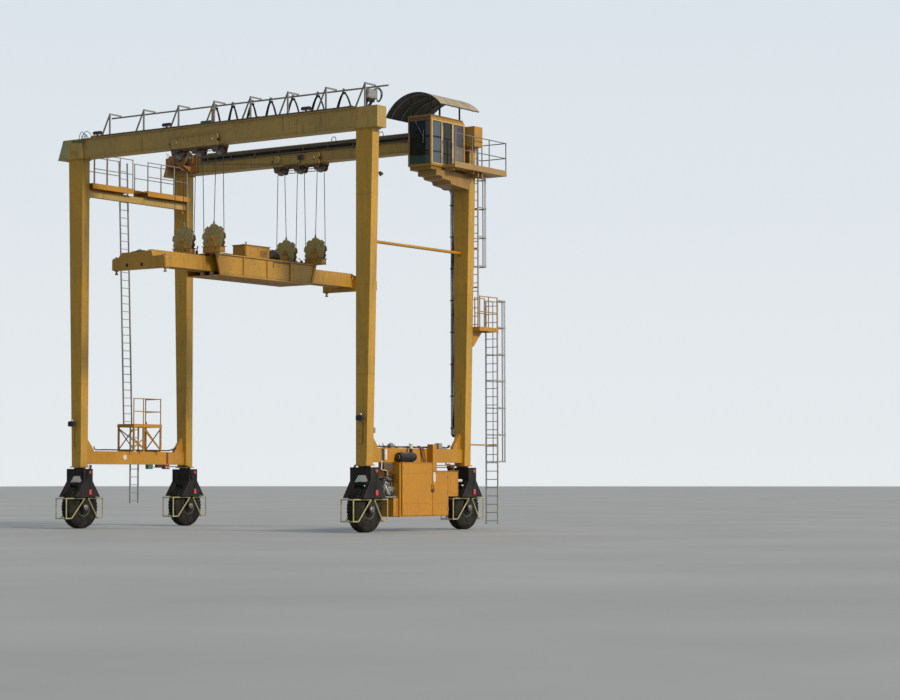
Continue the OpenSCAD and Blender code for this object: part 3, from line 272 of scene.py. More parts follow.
class Nodes:
    """Builds one node material."""

    def __init__(self, name):
        self.material = bpy.data.materials.new(name)
        self.material.use_nodes = True
        self.tree = self.material.node_tree
        self.tree.nodes.clear()
        out = self.node("ShaderNodeOutputMaterial")
        self.shader = self.node("ShaderNodeBsdfPrincipled")
        self.link(self.shader.outputs[0], out.inputs[0])
        self.coord = self.node("ShaderNodeTexCoord").outputs["Object"]
        M[name] = self.material

    def link(self, a, b):
        self.tree.links.new(a, b)

    def node(self, kind, **values):
        n = self.tree.nodes.new(kind)
        for key, value in values.items():
            setattr(n, key, value)
        return n

    def feed(self, socket, value):
        """Sets a socket to a number or a colour, or links it."""
        if isinstance(value, (int, float)):
            socket.default_value = value
        elif isinstance(value, tuple):
            socket.default_value = (*value, 1)
        elif value is not None:
            self.link(value, socket)

    def scaled(self, *scale):
        m = self.node("ShaderNodeMapping")
        m.inputs["Scale"].default_value = scale
        self.link(self.coord, m.inputs["Vector"])
        return m.outputs[0]

    def noise(self, scale, detail, rough=0.55, vector=None):
        n = self.node("ShaderNodeTexNoise")
        for key, value in (("Scale", scale), ("Detail", detail), ("Roughness", rough)):
            n.inputs[key].default_value = value
        self.link(vector or self.coord, n.inputs["Vector"])
        return n.outputs["Fac"]

    def bands(self, axis, scale):
        n = self.node("ShaderNodeTexWave", wave_type="BANDS", bands_direction=axis)
        n.inputs["Scale"].default_value = scale
        self.link(self.coord, n.inputs["Vector"])
        return n.outputs["Fac"]

    def ramp(self, fac, lo, hi, dark=0.0, light=1.0):
        r = self.node("ShaderNodeValToRGB")
        for e, pos, value in zip(r.color_ramp.elements, (lo, hi), (dark, light)):
            e.position, e.color = pos, (value, value, value, 1)
        self.link(fac, r.inputs[0])
        return r.outputs[0]

    def cloud(self, scale, detail, lo, hi, rough=0.55, dark=0.0, light=1.0, vector=None):
        """Noise that runs from dark at lo to light at hi."""
        return self.ramp(self.noise(scale, detail, rough, vector), lo, hi, dark, light)

    def math(self, op, a, b=None):
        n = self.node("ShaderNodeMath", operation=op)
        self.feed(n.inputs[0], a)
        self.feed(n.inputs[1], b)
        return n.outputs[0]

    def mul(self, a, b):
        return self.math("MULTIPLY", a, b)

    def add(self, a, b):
        return self.math("ADD", a, b)

    def sub(self, a, b):
        return self.math("SUBTRACT", a, b)

    def over(self, a, b):
        return self.math("GREATER_THAN", a, b)

    def under(self, a, b):
        return self.math("LESS_THAN", a, b)

    def mix(self, fac, a, b, mode="MIX"):
        n = self.node("ShaderNodeMix", data_type="RGBA", blend_type=mode)
        for key, value in ((0, fac), (6, a), (7, b)):
            self.feed(n.inputs[key], value)
        return n.outputs[2]

    def edges(self, radius):
        """0 on flat faces, up to 1 at edges."""
        bevel = self.node("ShaderNodeBevel", samples=4)
        bevel.inputs["Radius"].default_value = radius
        geo = self.node("ShaderNodeNewGeometry")
        dot = self.node("ShaderNodeVectorMath", operation="DOT_PRODUCT")
        self.link(bevel.outputs[0], dot.inputs[0])
        self.link(geo.outputs["Normal"], dot.inputs[1])
        return self.mul(self.sub(1.0, dot.outputs["Value"]), 6.0)

    def split(self, vector=None):
        sep = self.node("ShaderNodeSeparateXYZ")
        self.link(vector or self.coord, sep.inputs[0])
        return sep.outputs

    def upward(self):
        return self.split(self.node("ShaderNodeNewGeometry").outputs["Normal"])["Z"]

    def bump(self, height, strength, distance, normal=None):
        b = self.node("ShaderNodeBump")
        for key, value in (("Strength", strength), ("Distance", distance), ("Height", height),
                           ("Normal", normal)):
            self.feed(b.inputs[key], value)
        return b.outputs[0]

    def finish(self, colour, rough, normal, **fixed):
        s = self.shader.inputs
        for key, value in (("Base Color", colour), ("Roughness", rough), ("Normal", normal)):
            self.feed(s[key], value)
        for key, value in fixed.items():
            s[key.replace("_", " ")].default_value = value


GRIME, DUST = (0.09, 0.07, 0.045), (0.28, 0.25, 0.20)
RUST, LIGHT_RUST = (0.16, 0.055, 0.02), (0.27, 0.12, 0.05)


def painted(name, base, shade, grime=GRIME, rust=RUST, streaks=0.55, chips=0.62, rough=0.42, dusty=0.35,
            edge=0.5, above=None):
    """Site paint: patches of fading, vertical runs of grime, dust on top faces, worn and rusted edges.
    above=(height, colour) paints what lies higher in another colour."""
    m = Nodes(name)
    colour = m.mix(m.cloud(0.55, 4, 0.35, 0.68), base, shade)
    if above:
        colour = m.mix(m.over(m.split()["Z"], above[0]), colour, above[1])
    colour = m.mix(0.55, colour, m.cloud(9.0, 5, 0.3, 0.7, 0.65, 0.78, 1.08), "MULTIPLY")
    run = m.cloud(1.9, 3, 0.52, 0.80, 0.5, vector=m.scaled(4.0, 4.0, 0.42))
    run = m.mul(run, m.cloud(0.9, 3, 0.38, 0.66, dark=0.15))
    colour = m.mix(m.mul(run, streaks), colour, grime)
    dust = m.mul(m.ramp(m.upward(), 0.55, 0.95), dusty)
    colour = m.mix(m.mul(dust, m.cloud(3.0, 4, 0.25, 0.7, dark=0.5)), colour, DUST)
    spot = m.cloud(16.0, 6, chips, chips + 0.04, 0.72)
    worn = m.mul(m.mul(m.edges(0.03), m.cloud(5.0, 5, 0.42, 0.62, 0.7)), edge)
    rusty = m.math("MINIMUM", m.add(m.mul(spot, 0.8), worn), 1.0)
    colour = m.mix(rusty, colour, m.mix(m.noise(40.0, 3), rust, LIGHT_RUST))
    roughness = m.add(m.mul(m.noise(7.0, 4), 0.25), rough - 0.1)
    roughness = m.add(roughness, m.mul(rusty, 0.25))
    plate = m.bump(m.noise(1.1, 2), 0.25, 0.03)
    peel = m.bump(m.noise(60.0, 4), 0.12, 0.004, plate)
    m.finish(colour, roughness, m.bump(m.sub(1.0, rusty), 0.3, 0.003, peel))


def metal(name, base, dark, scale=14.0, rough=0.5, metallic=0.6):
    """Galvanised or bare metal: cloudy grey with darker stains."""
    m = Nodes(name)
    colour = m.mix(m.cloud(scale, 4, 0.3, 0.7, 0.6), dark, base)
    stain = m.cloud(2.2, 5, 0.55, 0.75, 0.7, vector=m.scaled(3, 3, 0.6))
    colour = m.mix(m.mul(stain, 0.45), colour, (0.16, 0.11, 0.07))
    roughness = m.add(m.mul(m.noise(scale * 2, 3), 0.3), rough - 0.15)
    m.finish(colour, roughness, m.bump(m.noise(scale * 6, 4), 0.2, 0.002), Metallic=metallic)


def rubber(name, base, dusty, rough=0.8, scale=20.0, dust_share=0.5):
    """Rubber or hose cover, with dust in patches."""
    m = Nodes(name)
    colour = m.mix(m.mul(m.cloud(scale * 0.25, 5, 0.42, 0.72, 0.65), dust_share), base, dusty)
    colour = m.mix(0.5, colour, m.cloud(scale * 3, 4, 0.3, 0.7, dark=0.7, light=1.1), "MULTIPLY")
    roughness = m.add(m.mul(m.noise(scale, 3), 0.2), rough - 0.1)
    m.finish(colour, roughness, m.bump(m.noise(scale * 8, 4), 0.25, 0.002), Specular_IOR_Level=0.25)


def plain(name, base, rough=0.5, vary=0.25, scale=12.0):
    """Small fittings: one colour with a little wear and dirt."""
    m = Nodes(name)
    dark = tuple(c * (1 - vary) for c in base)
    colour = m.mix(m.cloud(scale, 5, 0.3, 0.7, 0.65), dark, base)
    colour = m.mix(m.cloud(scale * 0.4, 4, 0.55, 0.8, 0.6, light=0.5), colour, (0.07, 0.055, 0.04))
    roughness = m.add(m.mul(m.noise(scale * 2, 3), 0.25), rough - 0.12)
    m.finish(colour, roughness, m.bump(m.noise(scale * 6, 3), 0.15, 0.002), Metallic=0.0)


def lens(name, base, glow):
    m = Nodes(name)
    ribs = m.bands("Z", 14.0)
    colour = m.mix(m.cloud(30, 3, 0.3, 0.7), tuple(c * 0.7 for c in base), base)
    m.finish(colour, 0.25, m.bump(ribs, 0.4, 0.004), Emission_Color=(*glow, 1), Emission_Strength=0.25,
             Coat_Weight=0.6, Coat_Roughness=0.1)


painted("yellow", (0.54, 0.255, 0.012), (0.45, 0.22, 0.016))
painted("leg", (0.57, 0.32, 0.030), (0.47, 0.275, 0.034), streaks=0.7)
painted("girder", (0.50, 0.335, 0.085), (0.40, 0.275, 0.08), streaks=0.75, edge=0.7, rough=0.5)
painted("cabinet", (0.53, 0.235, 0.006), (0.47, 0.205, 0.007), streaks=0.3, chips=0.68, rough=0.34, edge=0.35)
painted("spreader", (0.52, 0.275, 0.026), (0.43, 0.235, 0.028), streaks=0.6, chips=0.585, edge=0.9)
painted("trolley", (0.15, 0.10, 0.075), (0.10, 0.07, 0.055), streaks=0.6, chips=0.58, rough=0.55,
        above=(13.665, (0.44, 0.31, 0.085)))
painted("winch", (0.40, 0.185, 0.035), (0.24, 0.125, 0.035), streaks=0.6, chips=0.56, rough=0.55)
painted("cab", (0.52, 0.27, 0.022), (0.42, 0.225, 0.026), streaks=0.6, edge=0.6)
painted("cream", (0.72, 0.55, 0.25), (0.62, 0.46, 0.2), streaks=0.3, edge=0.3)
# the bracket's second colour is painted shade, as dark as its shaded faces, mixed in patches with the lit
# orange
painted("bracket", (0.44, 0.225, 0.03), (0.19, 0.135, 0.045), streaks=0.8)
painted("gallery", (0.44, 0.27, 0.085), (0.34, 0.21, 0.07), streaks=0.4, above=(13.01, (0.19, 0.18, 0.165)))
painted("black", (0.012, 0.012, 0.012), (0.024, 0.022, 0.020), grime=(0.10, 0.08, 0.055),
        rust=(0.07, 0.032, 0.018), streaks=0.25, rough=0.55, dusty=0.4, edge=0.35)
painted("cable_tray", (0.105, 0.11, 0.085), (0.065, 0.07, 0.06), streaks=0.5, rough=0.6)
painted("end_cap", (0.36, 0.36, 0.16), (0.28, 0.30, 0.15), streaks=0.5, rough=0.55)
painted("motor", (0.10, 0.115, 0.095), (0.07, 0.075, 0.065), streaks=0.3, edge=0.4)
painted("guard_disc", (0.46, 0.37, 0.12), (0.36, 0.29, 0.11), streaks=0.35, edge=0.8, chips=0.57)
metal("galvanised", (0.50, 0.50, 0.48), (0.32, 0.32, 0.31))
metal("rail_grey", (0.36, 0.36, 0.33), (0.22, 0.21, 0.19), metallic=0.35)
metal("silver", (0.55, 0.55, 0.54), (0.30, 0.29, 0.27), scale=9, metallic=0.75, rough=0.42)
metal("bare", (0.42, 0.41, 0.40), (0.20, 0.18, 0.16), metallic=0.85, rough=0.4)
metal("rim_steel", (0.075, 0.078, 0.070), (0.035, 0.035, 0.032), metallic=0.3, rough=0.6)
metal("rope", (0.16, 0.15, 0.14), (0.06, 0.055, 0.05), scale=30, metallic=0.6, rough=0.5)
rubber("tyre", (0.011, 0.011, 0.010), (0.095, 0.082, 0.062), dust_share=0.4)
rubber("hose", (0.018, 0.018, 0.019), (0.10, 0.09, 0.08), rough=0.6, scale=30, dust_share=0.3)
rubber("grey_hose", (0.20, 0.20, 0.20), (0.30, 0.28, 0.25), rough=0.6, scale=30)
for paint, base_colour, roughness in (
        ("white", (0.78, 0.77, 0.73), 0.45), ("grey", (0.33, 0.34, 0.34), 0.5),
        ("dark", (0.035, 0.036, 0.038), 0.5), ("dark_red", (0.22, 0.03, 0.025), 0.5),
        ("orange", (0.62, 0.20, 0.04), 0.5), ("green", (0.07, 0.19, 0.13), 0.45),
        ("green_primer", (0.10, 0.145, 0.06), 0.6), ("ochre_patch", (0.44, 0.26, 0.02), 0.55),
        ("grey_green", (0.14, 0.16, 0.13), 0.5), ("dusty_pink", (0.42, 0.22, 0.20), 0.55),
        ("wear_pad", (0.42, 0.40, 0.33), 0.6), ("blue_grey", (0.075, 0.095, 0.13), 0.5),
        ("brown", (0.17, 0.10, 0.06), 0.6)):
    plain(paint, base_colour, roughness)
lens("red_lens", (0.62, 0.03, 0.035), (0.6, 0.02, 0.03))
lens("lamp_lens", (0.55, 0.55, 0.52), (0.2, 0.2, 0.18))


def sunshade_sheet():
    """Faded tan sheet on top; its inside is painted dark, as shade."""
    m = Nodes("sunshade")
    place = m.split()
    dx, dz = m.sub(place["X"], SUNSHADE_AXIS[0]), m.sub(place["Z"], SUNSHADE_AXIS[1])
    r = m.math("SQRT", m.add(m.mul(dx, dx), m.mul(dz, dz)))
    outside = m.ramp(m.mul(m.sub(r, 1.422), 40.0), 0.0, 0.5)
    ribs = m.bands("Y", 1.3)
    tan = m.mix(m.cloud(1.4, 5, 0.35, 0.7, 0.6), (0.30, 0.235, 0.14), (0.47, 0.375, 0.225))
    tan = m.mix(m.cloud(3.0, 4, 0.5, 0.75, 0.6, light=0.6, vector=m.scaled(0.5, 5.0, 0.5)), tan,
                (0.17, 0.12, 0.08))
    # painted shade on the inside of the sheet
    inside = m.mix(m.cloud(2.0, 4, 0.3, 0.7), (0.045, 0.045, 0.04), (0.085, 0.08, 0.07))
    colour = m.mix(outside, inside, tan)
    height = m.add(m.mul(m.noise(30, 4), 0.3), ribs)
    m.finish(colour, m.add(m.mul(m.noise(8, 4), 0.3), 0.42), m.bump(height, 0.2, 0.01))


def floor_plate():
    """Raised-pattern floor plate, worn."""
    m = Nodes("floor_plate")
    checker = m.node("ShaderNodeTexVoronoi", distance="MANHATTAN")
    checker.inputs["Scale"].default_value = 26.0
    m.link(m.coord, checker.inputs["Vector"])
    colour = m.mix(m.cloud(3, 5, 0.35, 0.68, 0.65), (0.44, 0.31, 0.10), (0.25, 0.21, 0.15))
    m.finish(colour, 0.6, m.bump(checker.outputs["Distance"], 0.4, 0.006))


def cab_panes():
    """Dark front pane with a green foot pane, a painted sky reflection in the first side window, grey in the
    last.
    """
    m = Nodes("panes")
    place = m.split()
    x, y, z = place["X"], place["Y"], place["Z"]
    wave = m.mul(m.sub(m.noise(0.9, 3), 0.5), 0.35)
    front = m.mix(m.ramp(m.mul(m.sub(z, 13.2), 0.9), 0.0, 1.0), (0.006, 0.013, 0.014), (0.011, 0.017, 0.022))
    front = m.mix(m.under(m.add(z, wave), 13.24), front, (0.030, 0.085, 0.072))
    outer = m.over(x, 6.7)
    first, last = m.mul(outer, m.under(y, 1.15)), m.mul(outer, m.over(y, 1.80))
    lines = m.add(*[m.under(m.math("ABSOLUTE", m.sub(m.add(z, m.mul(wave, share)), at)), half)
                    for share, at, half in ((0.3, 13.86, 0.035), (0.2, 13.36, 0.03))])
    # painted reflection of the sky for the first side window: pale blue crossed by two dark bands
    sky = m.mix(m.math("MINIMUM", lines, 1.0), (0.088, 0.115, 0.15), (0.012, 0.03, 0.04))
    grey = m.mix(m.under(m.add(z, wave), 13.72), (0.10, 0.105, 0.14), (0.21, 0.19, 0.155))
    side = m.mix(m.cloud(2.0, 3, 0.3, 0.7), (0.010, 0.013, 0.011), (0.020, 0.022, 0.018))
    colour = m.mix(m.over(y, 0.52), front, side)
    colour = m.mix(last, m.mix(first, colour, sky), grey)
    film = m.cloud(3.0, 5, 0.45, 0.85, 0.65, light=0.2, vector=m.scaled(1.6, 1.6, 0.6))
    colour = m.mix(film, colour, (0.10, 0.105, 0.10))
    m.finish(colour, m.add(m.mul(film, 0.5), 0.05), m.bump(m.noise(1.3, 2), 0.06, 0.01),
             Specular_IOR_Level=0.35, Alpha=0.93)


def yoke_paint():
    """Near black, with pale wheel guards below the yoke's skirts."""
    m = Nodes("yoke")
    place = m.split()
    x, y = [m.math("ABSOLUTE", m.sub(m.math("ABSOLUTE", place[axis]), at))
            for axis, at in (("X", WHEEL_X), ("Y", FRAME_Y))]
    ear = m.mul(m.mul(m.over(x, 0.262), m.under(x, 0.3275)), m.under(y, 0.25))
    guard = m.mul(m.under(place["Z"], 1.137), m.sub(1.0, ear))
    black = m.mix(m.cloud(1.7, 4, 0.35, 0.7), (0.012, 0.012, 0.013), (0.030, 0.028, 0.026))
    pale = m.mix(m.cloud(6.0, 4, 0.3, 0.7), (0.38, 0.36, 0.17), (0.56, 0.53, 0.27))
    colour = m.mix(guard, black, pale)
    dusty = m.mul(m.cloud(2.4, 5, 0.48, 0.75, 0.65, vector=m.scaled(3, 3, 0.8)), 0.35)
    colour = m.mix(dusty, colour, (0.075, 0.062, 0.048))
    colour = m.mix(m.mul(m.ramp(m.upward(), 0.6, 0.95), 0.7), colour, (0.15, 0.125, 0.095))
    spot = m.cloud(18.0, 6, 0.61, 0.65, 0.72)
    worn = m.mul(m.edges(0.02), m.cloud(5.0, 5, 0.45, 0.65, 0.7))
    rusty = m.math("MINIMUM", m.add(m.mul(spot, 0.6), m.mul(worn, 0.5)), 1.0)
    colour = m.mix(rusty, colour, (0.10, 0.045, 0.025))
    m.finish(colour, m.add(m.mul(m.noise(7.0, 4), 0.25), 0.42), m.bump(m.noise(50.0, 4), 0.12, 0.004),
             Specular_IOR_Level=0.2)


SUNSHADE_AXIS = (6.46, 13.965)
sunshade_sheet()
floor_plate()
cab_panes()
yoke_paint()

WHEELS = {"near_left": (-1, -1), "far_left": (-1, 1), "near_right": (1, -1), "far_right": (1, 1)}
FINISH = {
    "leg": [f"{w}_leg" for w in WHEELS],
    "girder": ["near_girder", "far_girder", "left_tie"],
    "yellow": ["left_sill", "right_sill", "left_walkway", "right_tie", "left_landing", "right_landing",
               "ladder_brackets"],
    "bracket": ["cab_bracket"],
    "cab": ["cab_body"],
    "gallery": ["cab_gallery"],
    "sunshade": ["cab_sunshade"],
    "panes": ["cab_glass"],
    "cabinet": ["cabinet", "cabinet_left_door", "cabinet_right_door"],
    "silver": ["engine"],
    "black": ["exhaust", "floodlights"],
    "yoke": [f"{w}_yoke" for w in WHEELS],
    "rail_grey": ["festoon_posts", "festoon_rail", "left_walkway_rails"],
    "galvanised": ["left_ladders", "upper_ladder", "lower_ladder", "upper_cage", "lower_cage"],
    "hose": ["festoon_hose", "leg_hoses"],
    "trolley": ["near_trolley", "far_trolley"],
    "winch": ["hoist_winches"],
    "rope": ["near_hoist_ropes", "far_hoist_ropes"],
    "spreader": ["spreader_frame", "spreader_power_unit", "near_arm", "far_arm"],
    "guard_disc": ["sheave_blocks"],
    "tyre": [f"{w}_tyre" for w in WHEELS],
    "rim_steel": [f"{w}_rim" for w in WHEELS],
}
for material_name, names in FINISH.items():
    for node_name in names:
        node_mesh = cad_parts[node_name].data
        node_mesh.materials.clear()
        node_mesh.materials.append(M[material_name])
        for p in node_mesh.polygons:
            p.material_index = 0


# Hoist ropes: each fall is one straight piece that stretches between the trolley and the spreader
ROPE_R = 0.013
TOP_R = 0.164
BLOCK_R = 0.469
SHEAVE_STEP = 0.95


def hoist_ropes(label, side):
    y = side * FRAME_Y
    s = Shape()
    for sx in (-1, 1):
        s.at(LOAD_X, y, sx=sx)
        for top, low, z in ((SHEAVE_STEP + TOP_R, BLOCK_X + BLOCK_R, BLOCK_Z),
                            (SHEAVE_STEP - TOP_R, BLOCK_X, BLOCK_Z + 0.506),
                            (TOP_R, BLOCK_X - BLOCK_R, BLOCK_Z)):
            s.bar((top, 0, SHEAVE_Z), (low, 0, z), ROPE_R, 10)
    falls = s.make(f"{label}_rope_falls", "rope")
    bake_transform(falls)
    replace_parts(falls, f"{label}_hoist_ropes")
    s = Shape()
    for x in (-SHEAVE_STEP, 0, SHEAVE_STEP):
        s.tube(arc((LOAD_X + x, y, SHEAVE_Z), TOP_R, 0, 180, 14), ROPE_R, 10)
    s.make(f"{label}_rope_over_top_sheaves", "rope", f"{label}_trolley")
    s = Shape()
    for x in (-BLOCK_X, BLOCK_X):
        s.at(LOAD_X + x, y, BLOCK_Z).mat(0).tube(arc((0, 0, 0), BLOCK_R, -180, 0, 26), ROPE_R, 10)
        # wedge socket of the fixed end above each block
        s.at(LOAD_X + x, y, BLOCK_Z + 0.45).mat(1).block((-0.035, -0.03, 0), (0.035, 0.03, 0.13), 0.012)
        s.bar((0, 0, 0.12), (0, 0, 0.20), 0.028, r2=0.018)
        s.bar((0, -0.06, 0.04), (0, 0.06, 0.04), 0.018, 10)
    s.make(f"{label}_rope_under_block_sheaves", "rope bare", "spreader")


# Festoon: hose loops hanging between carriers, which on the crane close up as the trolley moves towards the
# fixed end
RAIL_Y = -2.35
RAIL_Z = 15.23
CARRIERS = [-0.54, 0.26, 1.14, 2.0, 3.0, 4.11, 5.25, 6.5]
HOSE_TOP = 15.14
LOOP_DEPTH = 1.05
HOSES = ((-0.031, 0.019, 0.97), (0.004, 0.024, 1.0), (0.036, 0.013, 1.06))


def follow_rail(obj):
    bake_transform(obj)


def festoon():
    for bay, (x0, x1) in enumerate(zip(CARRIERS, CARRIERS[1:])):
        s = Shape()
        for dy, r, deep in HOSES:
            depth = LOOP_DEPTH * deep * (0.97 + 0.05 * rng.random())
            s.tube([(x0 + (x1 - x0) * t, RAIL_Y + dy * (0.8 + 0.5 * math.sin(math.pi * t)),
                     HOSE_TOP - 0.5 * depth * (1 - math.cos(2 * math.pi * t))) for t in spread(0, 1, 29)], r,
                   10)
        obj = s.make(f"hose_loop_{bay}", "hose")
        follow_rail(obj)
        if bay == 0:
            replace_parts(obj, "festoon_hose")
    for k, x in enumerate(CARRIERS[:-1]):
        # saddle for the hoses, hanger plates and a grooved roller on the pipe
        s = Shape().at(x, RAIL_Y, HOSE_TOP)
        for y in (-0.06, 0.06):
            s.plate([(-0.055, -0.03), (0.055, -0.03), (0.035, 0.045), (-0.035, 0.045)], "y", y, y + 0.008)
        s.block((-0.03, -0.06, 0.024), (0.03, 0.068, 0.04), 0.004)
        s.tube(arc((0, 0, -0.02), 0.045, 180, 0, 8), 0.006, 6)
        for y in (-0.045, 0.045):
            s.bar((0, y, 0.03), (0, y, RAIL_Z + 0.062 - HOSE_TOP), 0.008, 8)
        s.mat(1).at(x, RAIL_Y, RAIL_Z).turned((0, -0.05, 0.048), "y", [
            (0, 0), (0.026, 0), (0.026, 0.02), (0.015, 0.05), (0.026, 0.08), (0.026, 0.10), (0, 0.10)], 16)
        follow_rail(s.make(f"hose_carrier_{k}", "dark bare"))
    # silver box of the fixed end, with a cable coil beside it
    s = Shape().at(CARRIERS[-1])
    s.block((0.02, -2.89, 14.76), (0.25, -2.40, 15.10), 0.035)
    s.mat(1).block((0.06, -2.86, 14.66), (0.20, -2.50, 14.76), 0.02)
    for r, points in (
            (0.03, [(0.10, -2.6, 14.70), (0.11, -2.7, 14.58), (0.05, -2.85, 14.46)]),
            (0.022, [(0.17, -2.6, 14.70), (0.18, -2.72, 14.56), (0.12, -2.88, 14.46)])):
        s.pipe(points, r)
    for r, points in (
            (0.022, [(0, -2.35, 15.14), (0.10, -2.36, 15.15), (0.17, -2.42, 15.12), (0.16, -2.52, 15.08)]),
            (0.021, [(0, -2.314, 15.14), (0.14, -2.32, 15.16), (0.30, -2.35, 15.10), (0.37, -2.38, 14.92),
                     (0.33, -2.40, 14.74), (0.22, -2.44, 14.70)]),
            (0.014, [(0.12, -2.37, 15.20), (0.26, -2.37, 15.18), (0.41, -2.38, 15.02), (0.40, -2.39, 14.82),
                     (0.30, -2.42, 14.68), (0.24, -2.46, 14.78)])):
        s.pipe(points, r, steps=8)
    s.mat(2)
    for z in (14.82, 15.04):
        s.bolts([0.25], (-2.86, -2.45), [z], "x", 0.012, 0.01)
    s.block((0.251, -2.80, 14.82), (0.258, -2.52, 15.04), 0.004)
    s.make("fixed_end_box", "silver hose grey", "frame", "hose")


def leg_hose_bundle():
    s = Shape()
    for k, r in enumerate((0.026, 0.021, 0.025, 0.018)):
        x = 6.31 - 0.058 * k
        wavy = [(x + 0.004 * math.sin(3 * z + k), 2.87 + 0.003 * math.cos(2.3 * z + k), z)
                for z in spread(3.75, 11.25, 16)]
        s.pipe([(x + 0.03 * (k + 1), 2.80, 3.31), (x + 0.01, 2.86, 3.40), (x, 2.87, 3.62), *wavy,
                (x, 2.87, 11.9), (x, 2.87, 12.05), (x - 0.01, 2.80, 12.2), (x - 0.02, 2.62, 12.21)], r, 10, 4)
    s.mat(1)
    for z in spread(3.60, 11.65, 8):
        for y in (2.838, 2.894):
            s.block((6.10, y, z), (6.35, y + 0.008, z + 0.04), 0.002)
        for x in (6.112, 6.342):
            s.bar((x, 2.832, z + 0.02), (x, 2.908, z + 0.02), 0.006, 6)
    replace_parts(s.make("leg_hose_bundle", "hose dark", "frame", "hose"), "leg_hoses")


for label, side in SIDES:
    hoist_ropes(label, side)
festoon()
leg_hose_bundle()


# Wheels: tyres with slanted lugs, nuts and lock rings on the rims
LUGS = 38
TYRE_SIDE = [(0.332, 0.190), (0.345, 0.206), (0.375, 0.216), (0.385, 0.2195), (0.40, 0.2185), (0.41, 0.215),
             (0.47, 0.2195), (0.53, 0.2225), (0.585, 0.2225), (0.592, 0.2245), (0.60, 0.2245),
             (0.607, 0.2215), (0.65, 0.214), (0.70, 0.199), (0.735, 0.176), (0.746, 0.155)]
# a lug's sections: across the tyre, outer and inner radius
LUG_ROWS = ((0.012, 0.7735, 0.742), (0.09, 0.7742, 0.742), (0.158, 0.7705, 0.738), (0.188, 0.751, 0.72),
            (0.211, 0.706, 0.69))


def lug_corners(half):
    for x, outer, inner in LUG_ROWS:
        lean = 0.75 * x / 0.2 + (0.5 if half > 0 else 0.0)
        wide = 0.31 if x < 0.17 else 0.27
        for r, t in ((inner, -wide), (outer, -wide * 0.86), (outer, wide * 0.86), (inner, wide)):
            yield half * x, r, (lean + t) * 2 * math.pi / LUGS


def tyre(name, sx, sy):
    s = Shape().at(sx * WHEEL_X, sy * FRAME_Y, AXLE_Z)
    profile = [(r, -h) for r, h in TYRE_SIDE] + [(0.748, 0.0)] + [(r, h) for r, h in reversed(TYRE_SIDE)]
    s.turned((0, 0, 0), "x", profile, 96)
    for half, k in product((-1, 1), range(LUGS)):
        first = len(s.v)
        for x, r, a in lug_corners(half):
            a += 2 * math.pi * k / LUGS
            s.v.append(s.put((x, r * math.cos(a), r * math.sin(a))))
        quads = [[first + 4 * i + j + d for d in (0, 1, 5, 4)] for i in range(len(LUG_ROWS) - 1)
                 for j in range(3)]
        quads += [[first + d for d in (0, 3, 2, 1)], [len(s.v) - d for d in (4, 3, 2, 1)]]
        s.faces([q[::half] for q in quads])
    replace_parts(s.make(f"{name}_lugged_tyre", "tyre", f"{name}_wheel", "tyre"), f"{name}_tyre")


def rim_fittings(name, sx, sy):
    s = Shape()
    for d in (-1, 1):
        s.at(sx * WHEEL_X, sy * FRAME_Y, AXLE_Z, sx=d)
        s.bolt_ring((0.122, 0, 0), 0.205, 16, "x", 0.017, 0.028)
        # lock ring and its split
        s.turned((0.196, 0, 0), "x", [(0.322, 0), (0.345, 0), (0.347, 0.010), (0.338, 0.017), (0.322, 0.014)],
                 72)
        s.mat(1).bar((0.12, 0.25, 0), (0.185, 0.255, 0), 0.010, 8).mat(0)
    s.make(f"{name}_wheel_nuts", "rim_steel dark", f"{name}_wheel", "wheel_steel")


# Yokes: lights, bare plates, turntable bolts and toothed skirts
SKIRT_X = 0.44
EAR_X = 0.325


